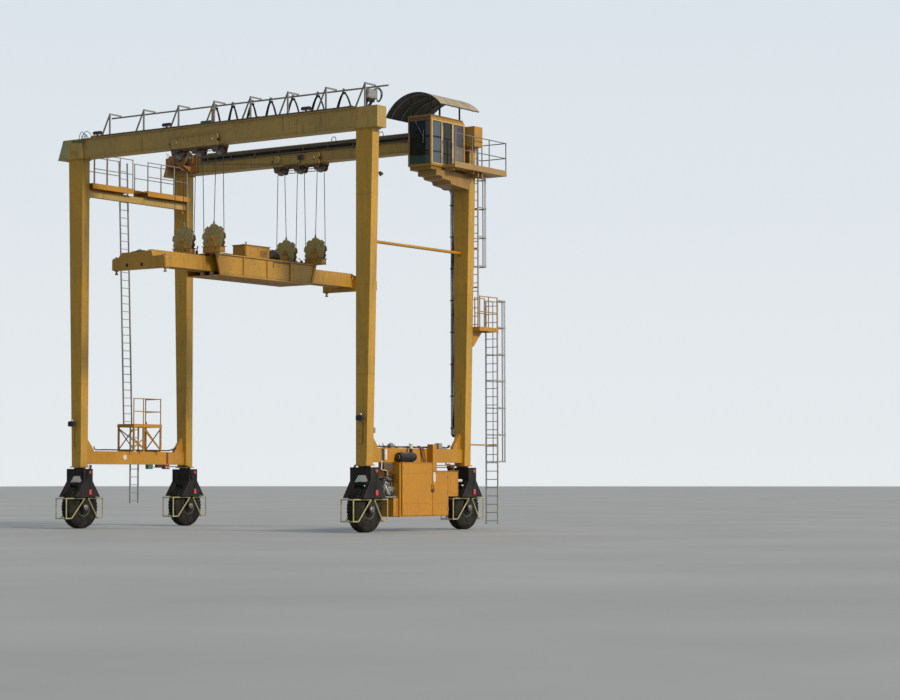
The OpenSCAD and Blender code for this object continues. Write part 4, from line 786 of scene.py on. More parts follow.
def yoke_fittings(name, sx, sy):
    x0, y0 = sx * WHEEL_X, sy * FRAME_Y
    s = Shape()
    for d in (-1, 1):
        # round light above, square light below, in dark frames
        s.at(x0 + SKIRT_X * d, y0, 0, sx=d)
        s.mat(0).turned((0, 0.06, 2.07), "x", [(0.075, -0.01), (0.075, 0.022), (0.06, 0.028), (0, 0.028)], 24)
        s.mat(1).turned((0, 0.06, 2.07), "x", [(0.058, 0.026), (0.052, 0.045), (0.03, 0.052), (0, 0.054)], 24)
        s.mat(0).block((0, -0.01, 1.23), (0.03, 0.15, 1.44), 0.012)
        s.mat(1).block((0.028, 0.005, 1.245), (0.048, 0.135, 1.425), 0.01)
        s.mat(2).pipe([(0.012, 0.07, 2.0), (0.014, 0.10, 1.85), (0.013, 0.06, 1.62), (0.012, 0.07, 1.45)],
                      0.007, 6)
        # axle cap and the keeper's bolts on the ear
        s.at(x0 + EAR_X * d, y0, 0, sx=d).mat(3)
        s.turned((0, 0, AXLE_Z), "x", [(0.105, -0.01), (0.105, 0.018), (0.092, 0.026), (0.05, 0.028),
                                       (0.045, 0.05), (0.018, 0.055), (0, 0.055)])
        s.bolt_ring((0, 0, AXLE_Z), 0.085, 8, "x", 0.010, 0.036, 22.5)
        s.bolts([0], (-0.13, 0.13), (1.05, 1.12), "x", 0.013, 0.014)
        # stiffening bars along the skirt's edges
        s.mat(4)
        for e in (-1, 1):
            s.at(x0 + SKIRT_X * 0.985 * d, y0, 0, sy=e)
            for y, z in ((0.62, 1.165), (0.22, 2.19)):
                s.bar((0, 0.22, 1.74), (0, y, z), 0.012, 8)
    # toothed rubber strip along the skirt's edges
    s.mat(5)
    for e, d in product((-1, 1), repeat=2):
        teeth = []
        for k in range(6):
            y, z = 0.24 + 0.38 * k / 6, 1.70 - 0.52 * k / 6
            teeth += [(y, z), (y + 0.055, z - 0.015)]
        s.at(x0, y0, 0, d, e).plate([*teeth, (0.62, 1.165), (0.22, 1.72)], "x", 0.40, 0.415)
    # bare plate on the outer face
    s.mat(6).at(x0, y0, 0, sy=sy).plate([(-0.25, 1.70), (-0.15, 1.70), (-0.05, 1.715), (0.20, 1.70),
                                         (0.32, 1.70), (0.21, 1.93), (-0.08, 1.93)], "y", 0.22, 0.226)
    s.mat(3)
    for x, z in ((-0.15, 1.73), (0.26, 1.73), (-0.05, 1.90), (0.17, 1.90)):
        s.bolt((x, 0.226, z), "y", 0.008, 0.006)
    s.at(x0, y0).bolt_ring((0, 0, 2.2), 0.185, 20, "z", 0.012, 0.018)
    s.make(f"{name}_yoke_fittings", "dark red_lens hose bare black tyre white", f"{name}_steering",
           "black_paint")


def steering_gear(name, sx, sy):
    """Bolts of the steering ring under the leg, and hoses that run from the leg down along the yoke."""
    x0, y0 = sx * WHEEL_X, sy * FRAME_Y
    s = Shape().at(x0, y0, 2.245)
    s.turned((0, 0, 0), "z", [(0.0, 0), (0.235, 0), (0.235, 0.006), (0.0, 0.006)], 48)
    s.bolt_ring((0, 0, 0), 0.222, 24, "-z", 0.009, 0.016)
    s.make(f"{name}_turntable_bolts", "bare", "frame", "galvanised")
    for k, (y, r) in enumerate(((-0.13, 0.014), (-0.09, 0.014), (-0.05, 0.011))):
        s = Shape().at(x0, y0 + y, 0, -sx, -sy)
        s.pipe([(0.30, 0.30, 2.335), (0.42, 0.24, 2.30), (0.475, 0.12, 2.16), (0.468, 0.05, 1.95),
                (0.448, 0, 1.78)], r, steps=8)
        obj = s.make(f"{name}_steering_hose_{k}", "hose")
        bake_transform(obj)


for name, (sx, sy) in WHEELS.items():
    tyre(name, sx, sy)
    rim_fittings(name, sx, sy)
    yoke_fittings(name, sx, sy)
    steering_gear(name, sx, sy)


# Machinery side: cabinet, engine, silencer and the pipes along the right sill beam
CABINET_X = 6.95
DOOR_Z = 0.538
RIM = 0.028


def cabinet_door(body, y0, y1, z1, hinge, seam):
    s = Shape().at(DOOR_X)
    # folded rim round the door, and pressed stiffeners only just proud of the sheet
    for ya, za, yb, zb in ((y0, DOOR_Z, y0 + RIM, z1), (y1 - RIM, DOOR_Z, y1, z1),
                           (y0, DOOR_Z, y1, DOOR_Z + RIM), (y0, z1 - RIM, y1, z1)):
        s.block((-0.002, ya, za), (0.007, yb, zb), 0.003)
    for z in (0.95, 1.98):
        s.block((-0.004, y0 + 0.12, z), (0.004, y1 - 0.12, z + 0.035), 0.003)
    # lever handle on its dished plate
    s.mat(1).at(DOOR_X, seam, 1.40).turned((0, 0, 0), "x", [(0.062, -0.002), (0.06, 0.004), (0.05, 0.006),
                                                            (0, 0.006)], 24)
    s.bar((0, 0, 0.03), (0.036, 0, 0.03), 0.012)
    s.block((0.024, -0.013, -0.075), (0.036, 0.013, 0.045), 0.005)
    # hinge leaves with their screws
    s.mat(2)
    for z in spread(0.68, z1 - 0.262, 3):
        s.at(DOOR_X, hinge, z, sy=1 if hinge < 0 else -1).block((-0.002, 0, 0), (0.006, 0.075, 0.12), 0.002)
        s.bolts([0.006], [0.05], (0.03, 0.09), "x", 0.009, 0.006)
    s.make(f"{body}_rim_and_handle", "cabinet dark bare", body, "yellow_paint")


def cabinet_shell():
    s = Shape().at(CABINET_X)
    # rain lip, corner angles and the seams of the low side box
    for lo, hi in (((-0.89, -1.46, 2.366), (0.045, 0.50, 2.38)),
                   ((-0.89, 0.47, 2.078), (0.045, 2.10, 2.092)),
                   ((-0.895, 2.07, 1.185), (0.012, 2.096, 2.085)),
                   ((-0.895, 1.45, 1.185), (0.012, 2.09, 1.20)),
                   ((-0.002, 1.60, 1.26), (0.007, 2.02, 2.02))):
        s.block(lo, hi, 0.004)
    for z in (1.30, 1.98):
        s.bolts([0.008], spread(1.63, 1.99, 4), [z], "x", 0.009, 0.008)
    s.block((0.004, -1.445, 0.51), (0.028, 1.445, 0.532), 0.004)
    # louvres on the back panel and lifting eyes
    for z in spread(0.85, 1.95, 12):
        for y0, y1 in ((-1.1, -0.3), (0.55, 1.25)):
            s.plate([(-0.90, z), (-0.925, z - 0.045), (-0.90, z - 0.05)], "y", y0, y1)
    s.at().mat(1)
    for y in (-1.2, -0.1):
        s.tube(arc((6.3, y, 2.38), 0.045, 0, 180, 10), 0.009)
    # filler neck, drain and sight tube of the tank
    s.mat(2).turned((6.45, -1.60, 1.15), "z", [(0.05, 0), (0.05, 0.06), (0.06, 0.065), (0.06, 0.10),
                                               (0, 0.10)], 20)
    s.mat(1).bar((6.896, -1.52, 0.62), (6.896, -1.52, 1.06), 0.012, 8)
    s.bar((6.89, -1.60, 0.60), (6.92, -1.60, 0.60), 0.022, 8)
    s.make("cabinet_seams_and_fittings", "cabinet bare dark", "frame", "yellow_paint")
    # plates without lettering beside the seam and on the sill's near end
    s = Shape().at(DOOR_X).block((-0.001, 0.525, 1.70), (0.003, 0.665, 2.035), 0.001)
    s.mat(1).block((-0.001, 0.545, 1.50), (0.003, 0.615, 1.66), 0.001)
    s.make("bare_door_plates", "white cream", "cabinet_right_door", "yellow_paint")
    s = Shape().block((6.694, -1.93, 2.46), (6.702, -1.80, 2.82), 0.003)
    s.mat(1).block((6.694, -1.78, 2.50), (6.700, -1.66, 2.80), 0.003)
    s.mat(2).block((6.694, -2.12, 2.42), (6.699, -1.97, 2.84), 0.003)
    s.make("bare_plates", "white orange dark", "frame", "yellow_paint")


def engine_details():
    s = Shape().at(z=1.21)
    # rocker cover, head bolts and exhaust manifold with four short ports
    ports = spread(-1.955, -1.595, 4)
    s.block((6.35, -2.02, 0.60), (6.63, -1.52, 0.66), 0.02)
    s.bolts([6.49], spread(-1.98, -1.54, 5), [0.66], "z", 0.012, 0.012)
    s.mat(1).tube([(6.73, -1.99, 0.52), (6.73, -1.56, 0.52), (6.73, -1.50, 0.58), (6.72, -1.47, 0.75)], 0.032,
                  12)
    for y in ports:
        s.tube([(6.66, y, 0.47), (6.70, y, 0.49), (6.73, y, 0.52)], 0.022, 10)
    # pulleys, belt, alternator and oil filters
    s.mat(0).turned((6.82, -1.83, 0.19), "x", [(0.15, -0.02), (0.155, 0.0), (0.14, 0.006), (0.10, 0.008),
                                               (0.095, -0.006), (0.04, -0.004), (0.035, 0.02), (0, 0.02)])
    s.bolt_ring((6.826, -1.83, 0.19), 0.065, 6, "x", 0.010, 0.012)
    s.turned((6.72, -2.02, 0.45), "x", [(0.0, 0), (0.06, 0), (0.07, 0.02), (0.07, 0.10), (0.045, 0.115),
                                        (0.03, 0.14), (0, 0.14)], 20)
    s.mat(2)
    for y in (-1.74, -1.60):
        s.turned((6.80, y, 0.02), "z", [(0, 0), (0.045, 0), (0.048, 0.02), (0.048, 0.15), (0.03, 0.17),
                                        (0, 0.17)], 20)
    s.mat(1).tube([(6.835, -1.98, 0.19), (6.835, -1.93, 0.33), (6.845, -2.0, 0.50), (6.835, -2.08, 0.47),
                   (6.835, -1.985, 0.15)], 0.010, 6, closed=True)
    # fuel pipes, wiring and radiator hose
    s.pipe([(6.82, -1.80, 0.34), (6.86, -1.84, 0.45), (6.84, -1.98, 0.56), (6.70, -2.06, 0.62),
            (6.52, -2.10, 0.55)], 0.026, 10, 8)
    s.pipe([(6.82, -1.60, 0.22), (6.88, -1.62, 0.12), (6.88, -1.78, 0.03), (6.80, -1.98, 0.02)], 0.018,
           steps=8)
    for k, y in enumerate(ports):
        s.pipe([(6.70, y, 0.60), (6.74, y + 0.005, 0.67), (6.68, -1.94 + 0.11 * k, 0.70),
                (6.60, -1.90 + 0.08 * k, 0.66)],
               0.006, 6, 5)
    s.mat(0)
    for y in (-2.05, -1.52):
        s.bolts((6.21, 6.81), [y], [0], "z", 0.018, 0.02)
    # dark air box above, on a yellow bent bar with a white standpipe
    s.at().mat(3).block((6.62, -2.17, 2.11), (6.86, -1.70, 2.36), 0.03)
    s.block((6.64, -2.13, 2.06), (6.84, -1.76, 2.115), 0.012)
    s.mat(2)
    for y in spread(-2.10, -1.77, 7):
        s.block((6.858, y, 2.15), (6.866, y + 0.02, 2.32), 0.002)
    s.mat(4).pipe([(6.86, -2.34, 2.11), (6.88, -2.22, 2.10), (6.88, -2.10, 2.09), (6.87, -2.03, 2.00),
                   (6.86, -2.0, 1.90)],
                  0.019, 10)
    s.mat(5).bar((6.84, -2.34, 2.12), (6.83, -2.30, 2.40), 0.024, r2=0.02)
    s.turned((6.83, -2.30, 2.40), "z", [(0.03, -0.01), (0.032, 0.02), (0.02, 0.04), (0, 0.04)], 16)
    s.pipe([(6.80, -2.10, 1.62), (6.90, -2.16, 1.54), (6.93, -2.13, 1.42), (6.88, -2.05, 1.34)], 0.026, 10, 8)
    s.mat(2).pipe([(6.66, -1.9, 2.06), (6.70, -1.92, 1.98), (6.68, -1.90, 1.90)], 0.035, 10)
    s.make("engine_fittings", "silver hose dark brown cream white", "frame", "engine_grey")


def silencer_details():
    x, z, y0, y1 = 6.86, 2.56, -1.35, -0.50
    s = Shape()
    # rolled end caps, straps and weld bands
    for y, way in ((y0, "-y"), (y1, "y")):
        s.turned((x, y, z), way, [(0.152, -0.03), (0.155, 0.0), (0.150, 0.012), (0.125, 0.022), (0, 0.03)],
                 40)
    for y in (y0 + 0.15, y1 - 0.15):
        s.at(x, y, z).mat(0).turned((0, 0, 0), "y", [(0.149, -0.022), (0.156, -0.018), (0.156, 0.018),
                                                     (0.149, 0.022)], 40)
        s.mat(1).block((-0.02, -0.02, 0.150), (0.02, 0.02, 0.185), 0.006)
        s.bar((-0.035, 0, 0.172), (0.035, 0, 0.172), 0.008, 6)
    # stack with a pale upper pipe and a hinged rain flap
    s.at(x, -0.64, z).mat(0).turned((0, 0, 0.15), "z", [(0.075, -0.02), (0.075, 0.008), (0.057, 0.012),
                                                        (0.057, 0.16)], 24)
    s.mat(2).turned((0, 0, 0.29), "z", [(0.057, -0.005), (0.06, 0.0), (0.06, 0.136), (0.055, 0.14)], 24)
    s.mat(0).turned((0.004, 0, 0.437), (0.10, 0, 1), [(0, -0.004), (0.061, -0.004), (0.061, 0.004),
                                                      (0, 0.006)], 24)
    s.bar((-0.066, -0.03, 0.43), (-0.066, 0.03, 0.43), 0.008, 8)
    s.bar((-0.066, 0, 0.43), (-0.11, 0, 0.47), 0.006, 6)
    s.at(x, y0, z).mat(1).block((0.02, -0.055, -0.06), (0.06, -0.035, 0.06), 0.006)
    s.mat(3).turned((0, -0.03, 0), "-y", [(0.056, -0.01), (0.07, 0.0), (0.07, 0.02), (0.056, 0.022)], 24)
    s.make("silencer_straps_and_flap", "black bare white rail_grey", "frame", "black_paint")


def right_sill_fittings():
    s = Shape().at(z=SILL_TOP)
    # pipes and hoses on top of the right sill, held by clamps
    for x, y0, y1, z, r, k in ((6.49, -2.2, 2.15, 0.045, 0.020, 0), (6.54, -2.2, 2.15, 0.045, 0.020, 0),
                               (6.60, -2.1, 1.5, 0.03, 0.012, 1), (6.64, -1.6, 1.9, 0.035, 0.016, 0),
                               (6.67, -2.0, 0.9, 0.06, 0.014, 2)):
        wavy = [(x + 0.004 * math.sin(2.1 * t + 9 * x), y0 + (y1 - y0) * t / 10,
                 z + 0.006 * math.sin(1.7 * t + x * 30)) for t in range(1, 10)]
        s.mat(k).pipe([(x, y0 - 0.04, z + 0.10), (x, y0 + 0.04, z + 0.015), *wavy, (x, y1 - 0.04, z + 0.01),
                       (x, y1 + 0.03, z + 0.09)], r, steps=3)
    s.mat(3)
    for y in (-1.9, -1.2, -0.35, 0.3, 1.1, 1.8):
        s.block((6.46, y, -0.002), (6.69, y + 0.04, 0.012), 0.004)
        s.block((6.47, y + 0.005, 0.07), (6.57, y + 0.035, 0.082), 0.004)
        for x in (6.465, 6.572):
            s.bar((x, y + 0.02, 0), (x, y + 0.02, 0.09), 0.006, 6)
    # small valve blocks and a junction box
    s.block((6.48, -1.52, 0), (6.66, -1.30, 0.13), 0.01)
    s.mat(4).block((6.50, 1.30, 0), (6.68, 1.52, 0.20), 0.015)
    s.mat(1)
    for y in spread(-1.49, -1.325, 4):
        s.bar((6.57, y, 0.12), (6.57, y, 0.18), 0.014, 8)
    # hoses that run down from the sill's top to the cabinet
    s.at().mat(2).pipe([(6.60, 0.10, 2.92), (6.71, 0.13, 2.91), (6.735, 0.17, 2.72), (6.76, 0.22, 2.55),
                        (6.80, 0.26, 2.40), (6.80, 0.27, 2.36)], 0.030, 10)
    s.pipe([(6.60, 0.22, 2.91), (6.72, 0.26, 2.89), (6.75, 0.31, 2.70), (6.78, 0.33, 2.50),
            (6.79, 0.34, 2.36)], 0.018)
    # pipes under the sill beside the far wheel, with a coupling and a white canister
    s.mat(5).tube([(6.78, 0.84, 2.275), (6.78, 2.0, 2.275), (6.78, 2.05, 2.24), (6.78, 2.06, 2.12)], 0.020,
                  10)
    s.mat(0).tube([(6.83, 0.83, 2.20), (6.83, 1.8, 2.20), (6.82, 1.86, 2.17), (6.82, 1.88, 2.08)], 0.015)
    s.mat(6).turned((6.80, 1.78, 2.25), "y", [(0, 0), (0.055, 0.0), (0.06, 0.02), (0.06, 0.24), (0.04, 0.28),
                                              (0, 0.28)], 20)
    s.mat(0).bar((6.80, 1.90, 2.09), (6.80, 1.90, 2.25), 0.03, 10)
    s.mat(7).turned((6.88, 2.10, 1.74), "y", [(0, 0), (0.045, 0.0), (0.055, 0.02), (0.055, 0.30),
                                              (0.03, 0.34), (0, 0.34)], 20)
    s.mat(3).bar((6.88, 2.09, 1.74), (6.88, 2.11, 1.74), 0.03, 8)
    s.block((6.80, 2.088, 1.70), (6.90, 2.10, 1.78), 0.006)
    for y in (0.95, 1.6):
        s.block((6.74, y, 2.26), (6.80, y + 0.03, 2.37), 0.004)
    s.make("sill_pipes_and_hoses", "hose grey_hose brown galvanised grey yellow dark_red white", "frame",
           "hose")


def left_sill_fittings():
    """Hose pair on top, blocks below the far end and a round bare patch."""
    s = Shape().at(z=SILL_TOP)
    for z, r in ((0.05, 0.018), (0.09, 0.014)):
        wavy = [(-6.47 + 0.003 * math.sin(k), -2.2 + 0.45 * k, 0.03 + z * 0.4) for k in range(10)]
        s.pipe([(-6.46, -2.3, z + 0.10), *wavy, (-6.46, 2.3, z + 0.08)], r, steps=4)
    s.at().mat(5).block((-6.62, 0.70, 2.20), (-6.46, 0.97, 2.37), 0.012)
    s.mat(1).block((-6.60, 1.22, 2.25), (-6.46, 1.57, 2.37), 0.012)
    s.mat(4).block((-6.62, 1.62, 2.20), (-6.44, 1.92, 2.37), 0.02)
    s.mat(2).turned((-6.44, 1.70, 2.27), "x", [(0.035, -0.01), (0.035, 0.01), (0.02, 0.02), (0.02, 0.035),
                                               (0, 0.04)], 14)
    s.bar((-6.435, 1.80, 2.235), (-6.435, 1.89, 2.33), 0.014, 8)
    s.mat(0).pipe([(-6.50, 0.97, 2.30), (-6.47, 1.08, 2.27), (-6.48, 1.22, 2.31)], 0.014)
    s.pipe([(-6.50, 1.92, 2.31), (-6.42, 2.25, 2.29), (-6.30, 2.68, 2.305), (-6.28, 2.80, 2.335)], 0.016)
    s.mat(2).turned((-6.446, -0.62, 2.64), "x", [(0, 0), (0.10, 0.0), (0.10, 0.005), (0, 0.007)])
    s.mat(4).block((-6.447, 1.70, 2.40), (-6.441, 1.82, 2.83), 0.002)
    s.make("left_sill_fittings", "hose dark white brown dark_red green", "frame", "hose")


cabinet_door("cabinet_left_door", -1.332, 0.472, 2.362, -1.332, 0.44)
cabinet_door("cabinet_right_door", 0.488, 1.432, 2.072, 1.432, 0.52)
cabinet_shell()
engine_details()
silencer_details()
right_sill_fittings()
left_sill_fittings()


# Cab: frames, roof edge, sunshade bows; gallery fittings
CAB_WINDOWS = ((0.5654, 1.106), (1.1908, 1.7632), (1.848, 2.4946))
PANE_Z0, PANE_Z1 = CAB_Z0 + 0.11, CAB_Z1 - 0.19


def side_windows(s, x, d):
    """Painted frames on one side of the cab, each with a rubber seal inside it."""
    s.at(x, sx=d)
    for window in CAB_WINDOWS:
        for k, x0, x1, inset, w in ((0, 0, 0.010, 0, 0.032), (1, -0.004, 0.008, 0.008, 0.004)):
            y0, y1, z0, z1 = window[0] + inset, window[1] - inset, PANE_Z0 + inset, PANE_Z1 - inset
            s.mat(k)
            for ya, yb, za, zb in ((y0 - w, y0 + 0.006, z0 - w, z1 + w), (y1 - 0.006, y1 + w, z0 - w, z1 + w),
                                   (y0, y1, z0 - w, z0 + 0.006), (y0, y1, z1 - 0.006, z1 + w)):
                s.block((x0, ya, za), (x1, yb, zb), 0.004)


def cab_frames():
    s = Shape()
    side_windows(s, CAB_X1 - 0.002, 1)
    # door handle and hinges
    s.mat(2)
    for a, b in (((0.03, 1.73, 13.55), (0.03, 1.73, 13.72)), ((0, 1.73, 13.56), (0.03, 1.73, 13.56)),
                 ((0, 1.73, 13.71), (0.03, 1.73, 13.71))):
        s.bar(a, b, 0.010, 8)
    for z in (13.05, 13.65, 14.3):
        s.bar((0.012, 1.166, z), (0.012, 1.166, z + 0.11), 0.012, 8)
    side_windows(s, CAB_X0 + 0.002, -1)
    # front frame, its seal and a wiper
    s.at(0, CAB_Y0 + 0.002).mat(3)
    x0, x1, z0, z1 = CAB_X0 + 0.06, CAB_X1 - 0.06, CAB_Z0 + 0.09, PANE_Z1
    for xa, xb, za, zb in ((x0 - 0.03, x0 + 0.006, z0 - 0.03, z1 + 0.03),
                           (x1 - 0.006, x1 + 0.03, z0 - 0.03, z1 + 0.03), (x0, x1, z0 - 0.03, z0 + 0.006),
                           (x0, x1, z1 - 0.006, z1 + 0.03)):
        s.block((xa, -0.012, za), (xb, 0, zb), 0.004)
    s.mat(1).block((x0, 0, 13.225), (x1, 0.03, 13.245), 0.004)
    s.mat(2).bar((6.30, -0.02, 14.38), (6.62, -0.016, 13.85), 0.007, 6)
    s.bar((6.60, -0.016, 13.62), (6.64, -0.016, 14.08), 0.008, 6)
    s.turned((6.30, 0, 14.40), "-y", [(0.035, -0.01), (0.035, 0.02), (0.02, 0.03), (0, 0.03)], 16)
    # roof gutter, foot strip and the lintel above the front pane
    s.at().mat(4)
    for lo, hi, cut in (((5.938, 0.458, 14.585), (6.962, 0.482, 14.625), 0.006),
                        ((6.938, 0.458, 14.585), (6.964, 2.43, 14.625), 0.006),
                        ((5.936, 0.458, 14.585), (5.962, 2.43, 14.625), 0.006),
                        ((6.94, 0.49, 12.825), (6.962, 2.59, 12.88), 0.004)):
        s.block(lo, hi, cut)
    s.mat(3).block((5.98, 0.464, PANE_Z1 + 0.04), (6.92, 0.474, 14.58), 0.004)
    s.mat(2)
    for y in spread(0.62, 2.42, 7):
        s.bolt((6.962, y, 12.852), "x", 0.010, 0.008)
        s.bolt((6.95, y, 14.53), "x", 0.009, 0.008)
    s.make("cab_frames_and_trim", "cream hose bare brown cab", "frame", "yellow_paint")


def sunshade_bows():
    x0, z0 = SUNSHADE_AXIS
    s = Shape().at(x0, 0, z0)

    def bow(y, r0, r1, wide, a0=42.5, a1=153.0):
        top, low = [[(x, z) for x, _, z in arc((0, 0, 0), r, a0, a1, 34)] for r in (r1, r0)]
        s.plate(top + low[::-1], "y", y, y + wide)

    # angle bows under the sheet and a thin edge strip at both ends
    for y in (0.42, 1.02, 1.62, 2.28):
        bow(y, 1.365, 1.402, 0.035)
    s.mat(1)
    for y in (0.192, 2.636):
        bow(y, 1.392, 1.4445, 0.012, 41.9, 153.2)
    # lap seams of the sheets, and the tubes along both lower edges
    s.mat(2)
    for y in (0.80, 1.42, 2.03):
        bow(y, 1.4430, 1.4462, 0.03)
    s.mat(1)
    for a in (43.5, 151.8):
        s.bar(circle((0, 0.22, 0), 1.385, a), circle((0, 2.62, 0), 1.385, a), 0.016, 8)
    # stays from the cab roof to the bows
    s.at()
    for x in (6.05, 6.86):
        for y, top in ((0.57, 0.44), (2.33, 2.33)):
            s.bar((x, y, 14.62), (x, top, 15.27), 0.012, 8)
    s.make("sunshade_bows_and_seams", "rail_grey dark brown", "frame", "sunshade")


def gallery_fittings():
    # bolted plates at the rail feet, toe board and mesh bars
    s = Shape().at(7.475, 0, GALLERY_Z)
    for y in spread(1.18, 4.455, 4):
        s.block((-0.05, y - 0.05, 0), (0.02, y + 0.05, 0.012), 0.003)
        s.bolts([-0.032], (y - 0.032, y + 0.032), [0.012], "z", 0.010, 0.01)
    s.block((0.005, 1.16, 0), (0.013, 4.47, 0.10), 0.002)
    s.mat(1)
    for y in spread(1.25, 4.21, 9):
        s.block((-0.455, y, -0.002), (-0.035, y + 0.012, 0.008), 0.002)
    # cables and hoses from the far girder's end to the cab
    s.at().mat(2)
    for k, r in enumerate((0.022, 0.018, 0.014)):
        s.pipe([(7.02 - 0.05 * k, 2.70, 13.55 + 0.05 * k), (7.03, 2.63, 13.42),
                (7.02, 2.615, 13.20 - 0.05 * k), (6.99 - 0.04 * k, 2.62, 12.98),
                (6.97 - 0.04 * k, 2.66, 12.84)], r)
    s.mat(3).block((6.99, 2.69, 13.50), (7.10, 2.76, 13.75), 0.01)
    s.mat(4).block((6.99, 2.685, 13.80), (7.06, 2.72, 13.95), 0.01)
    s.make("gallery_fittings", "gallery bare hose orange white", "frame", "yellow_paint")
    # hoses under the cab bracket, down to the bundle on the leg
    s = Shape()
    for k, (r, x) in enumerate(((0.026, 6.31), (0.021, 6.25), (0.025, 6.19), (0.018, 6.14))):
        s.pipe([(x - 0.02, 2.62, 12.21), (x - 0.03, 2.50, 12.20), (x - 0.03, 2.42 - 0.03 * k, 12.24),
                (x - 0.01, 2.36 - 0.03 * k, 12.32)], r)
    s.make("hose_ends_under_cab", "hose", "frame", "hose")


cab_frames()
sunshade_bows()
gallery_fittings()


# Winches: ropes wound on the drums, gearbox fittings and finned motors
WINCH_X, WINCH_Z = -6.25, 14.32
DRUM_ROPE_R = 0.231
DRUM_ROPE_STEPS = 234


def winch_fittings(label, side):
    s = Shape().at(WINCH_X, 0, WINCH_Z, sy=side)
    s.tube([(DRUM_ROPE_R * math.cos(0.35 * k), 2.585 - 0.3 * k / DRUM_ROPE_STEPS,
             DRUM_ROPE_R * math.sin(0.35 * k)) for k in range(DRUM_ROPE_STEPS)], 0.0115, 6)
    s.make(f"{label}_rope_on_drum", "rope", "frame", "rope")
    # flanges of the drum, with bolts and spokes
    s = Shape().at(WINCH_X, 0, WINCH_Z, sy=side)
    for y in (2.60, 2.23):
        s.turned((0, y, 0), "y", [(0.302, -0.004), (0.312, 0.0), (0.312, 0.03), (0.302, 0.036)], 40)
    for a in range(10, 370, 45):
        s.bolt(circle((0, 2.23, 0), 0.26, a), "-y", 0.014, 0.014)
        spoke = a + math.degrees(0.3)
        s.bar(circle((0, 2.225, 0), 0.15, spoke), circle((0, 2.225, 0), 0.285, spoke), 0.008, 6)
    # gearbox: cover, bearing cap, feet and ribs
    s.at(sy=side).block((-7.06, 2.312, 14.05), (-6.64, 2.292, 14.35), 0.008)
    s.bolts((-7.04, -6.85, -6.66), [2.292], (14.07, 14.33), "-y", 0.012, 0.012)
    s.turned((-6.85, 2.295, 14.20), "-y", [(0.10, 0), (0.10, 0.02), (0.085, 0.035), (0.03, 0.04), (0, 0.04)],
             24)
    s.bolt_ring((-6.85, 2.272, 14.20), 0.082, 6, "-y", 0.008, 0.01)
    for x in (-7.05, -6.93, -6.77, -6.65):
        s.plate([(2.64, 13.86), (2.40, 14.02), (2.64, 14.02)], "x", x - 0.006, x + 0.006)
    s.block((-7.12, 2.64, 14.004), (-6.58, 2.33, 14.022), 0.004)
    # bracket under the drum's outer bearing
    for x in (WINCH_X - 0.16, WINCH_X + 0.145):
        s.plate([(2.64, 13.82), (2.255, 13.99), (2.225, 14.02), (2.64, 14.02)], "x", x, x + 0.015)
    s.block((WINCH_X - 0.18, 2.262, 13.98), (WINCH_X + 0.18, 2.235, 14.26), 0.01)
    s.bolts((-7.22, -6.98, -6.70, -6.46, -6.04, -5.84), [2.64], (13.82, 14.38), "-y", 0.015, 0.014)
    # motor: cooling fins, fan cover, terminal box and lifting eye
    s.at(WINCH_X, 0, WINCH_Z, sy=side).mat(1)
    for k in range(8):
        s.turned((0, 2.20 - 0.022 * k, 0), "-y", [(0.128, 0), (0.150, 0.001), (0.150, 0.007), (0.128, 0.008)],
                 28)
    s.turned((0, 2.03, 0), "-y", [(0.134, -0.02), (0.148, -0.018), (0.148, 0.03), (0.132, 0.05),
                                  (0.05, 0.055), (0.045, 0.045), (0, 0.045)], 28)
    s.block((-0.07, 2.18, 0.13), (0.07, 2.06, 0.215), 0.012)
    s.tube(arc((0.10, 2.12, 0.14), 0.024, 0, 180, 8), 0.006, 6)
    # filler cap and breather, leads, plug and box
    s.at(sy=side).mat(2).turned((-6.78, 2.50, 14.47), "z", [(0.03, 0), (0.03, 0.02), (0.02, 0.03),
                                                            (0.028, 0.035), (0.028, 0.07), (0, 0.08)], 12)
    s.turned((-6.93, 2.50, 14.47), "z", [(0.022, 0), (0.022, 0.05), (0.012, 0.06), (0.012, 0.12), (0, 0.12)],
             10)
    s.mat(3).pipe([(-6.74, 2.36, 14.47), (-6.66, 2.33, 14.58), (-6.50, 2.22, 14.60), (-6.34, 2.13, 14.545),
                   (WINCH_X - 0.03, 2.12, 14.53)], 0.012)
    s.pipe([(-6.96, 2.36, 14.46), (-6.98, 2.30, 14.56), (-7.14, 2.42, 14.55), (-7.20, 2.60, 14.42),
            (-7.20, 2.63, 14.10)],
           0.010)
    s.mat(4).bar((-6.70, 2.300, 14.12), (-6.70, 2.285, 14.12), 0.018, 10)
    s.block((-7.24, 2.64, 14.28), (-7.12, 2.56, 14.40), 0.012)
    s.make(f"{label}_winch_fittings", "winch motor green silver orange", "frame", "yellow_paint")
    # the rope from the drum to the trolley's guide sheave, as one straight piece
    start, end = (WINCH_X + 0.02, side * 2.44, WINCH_Z - DRUM_ROPE_R), (-1.66, side * 2.565, 13.755)
    obj = Shape().bar(start, end, ROPE_R, 8).make(f"{label}_rope_to_trolley", "rope")
    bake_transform(obj)


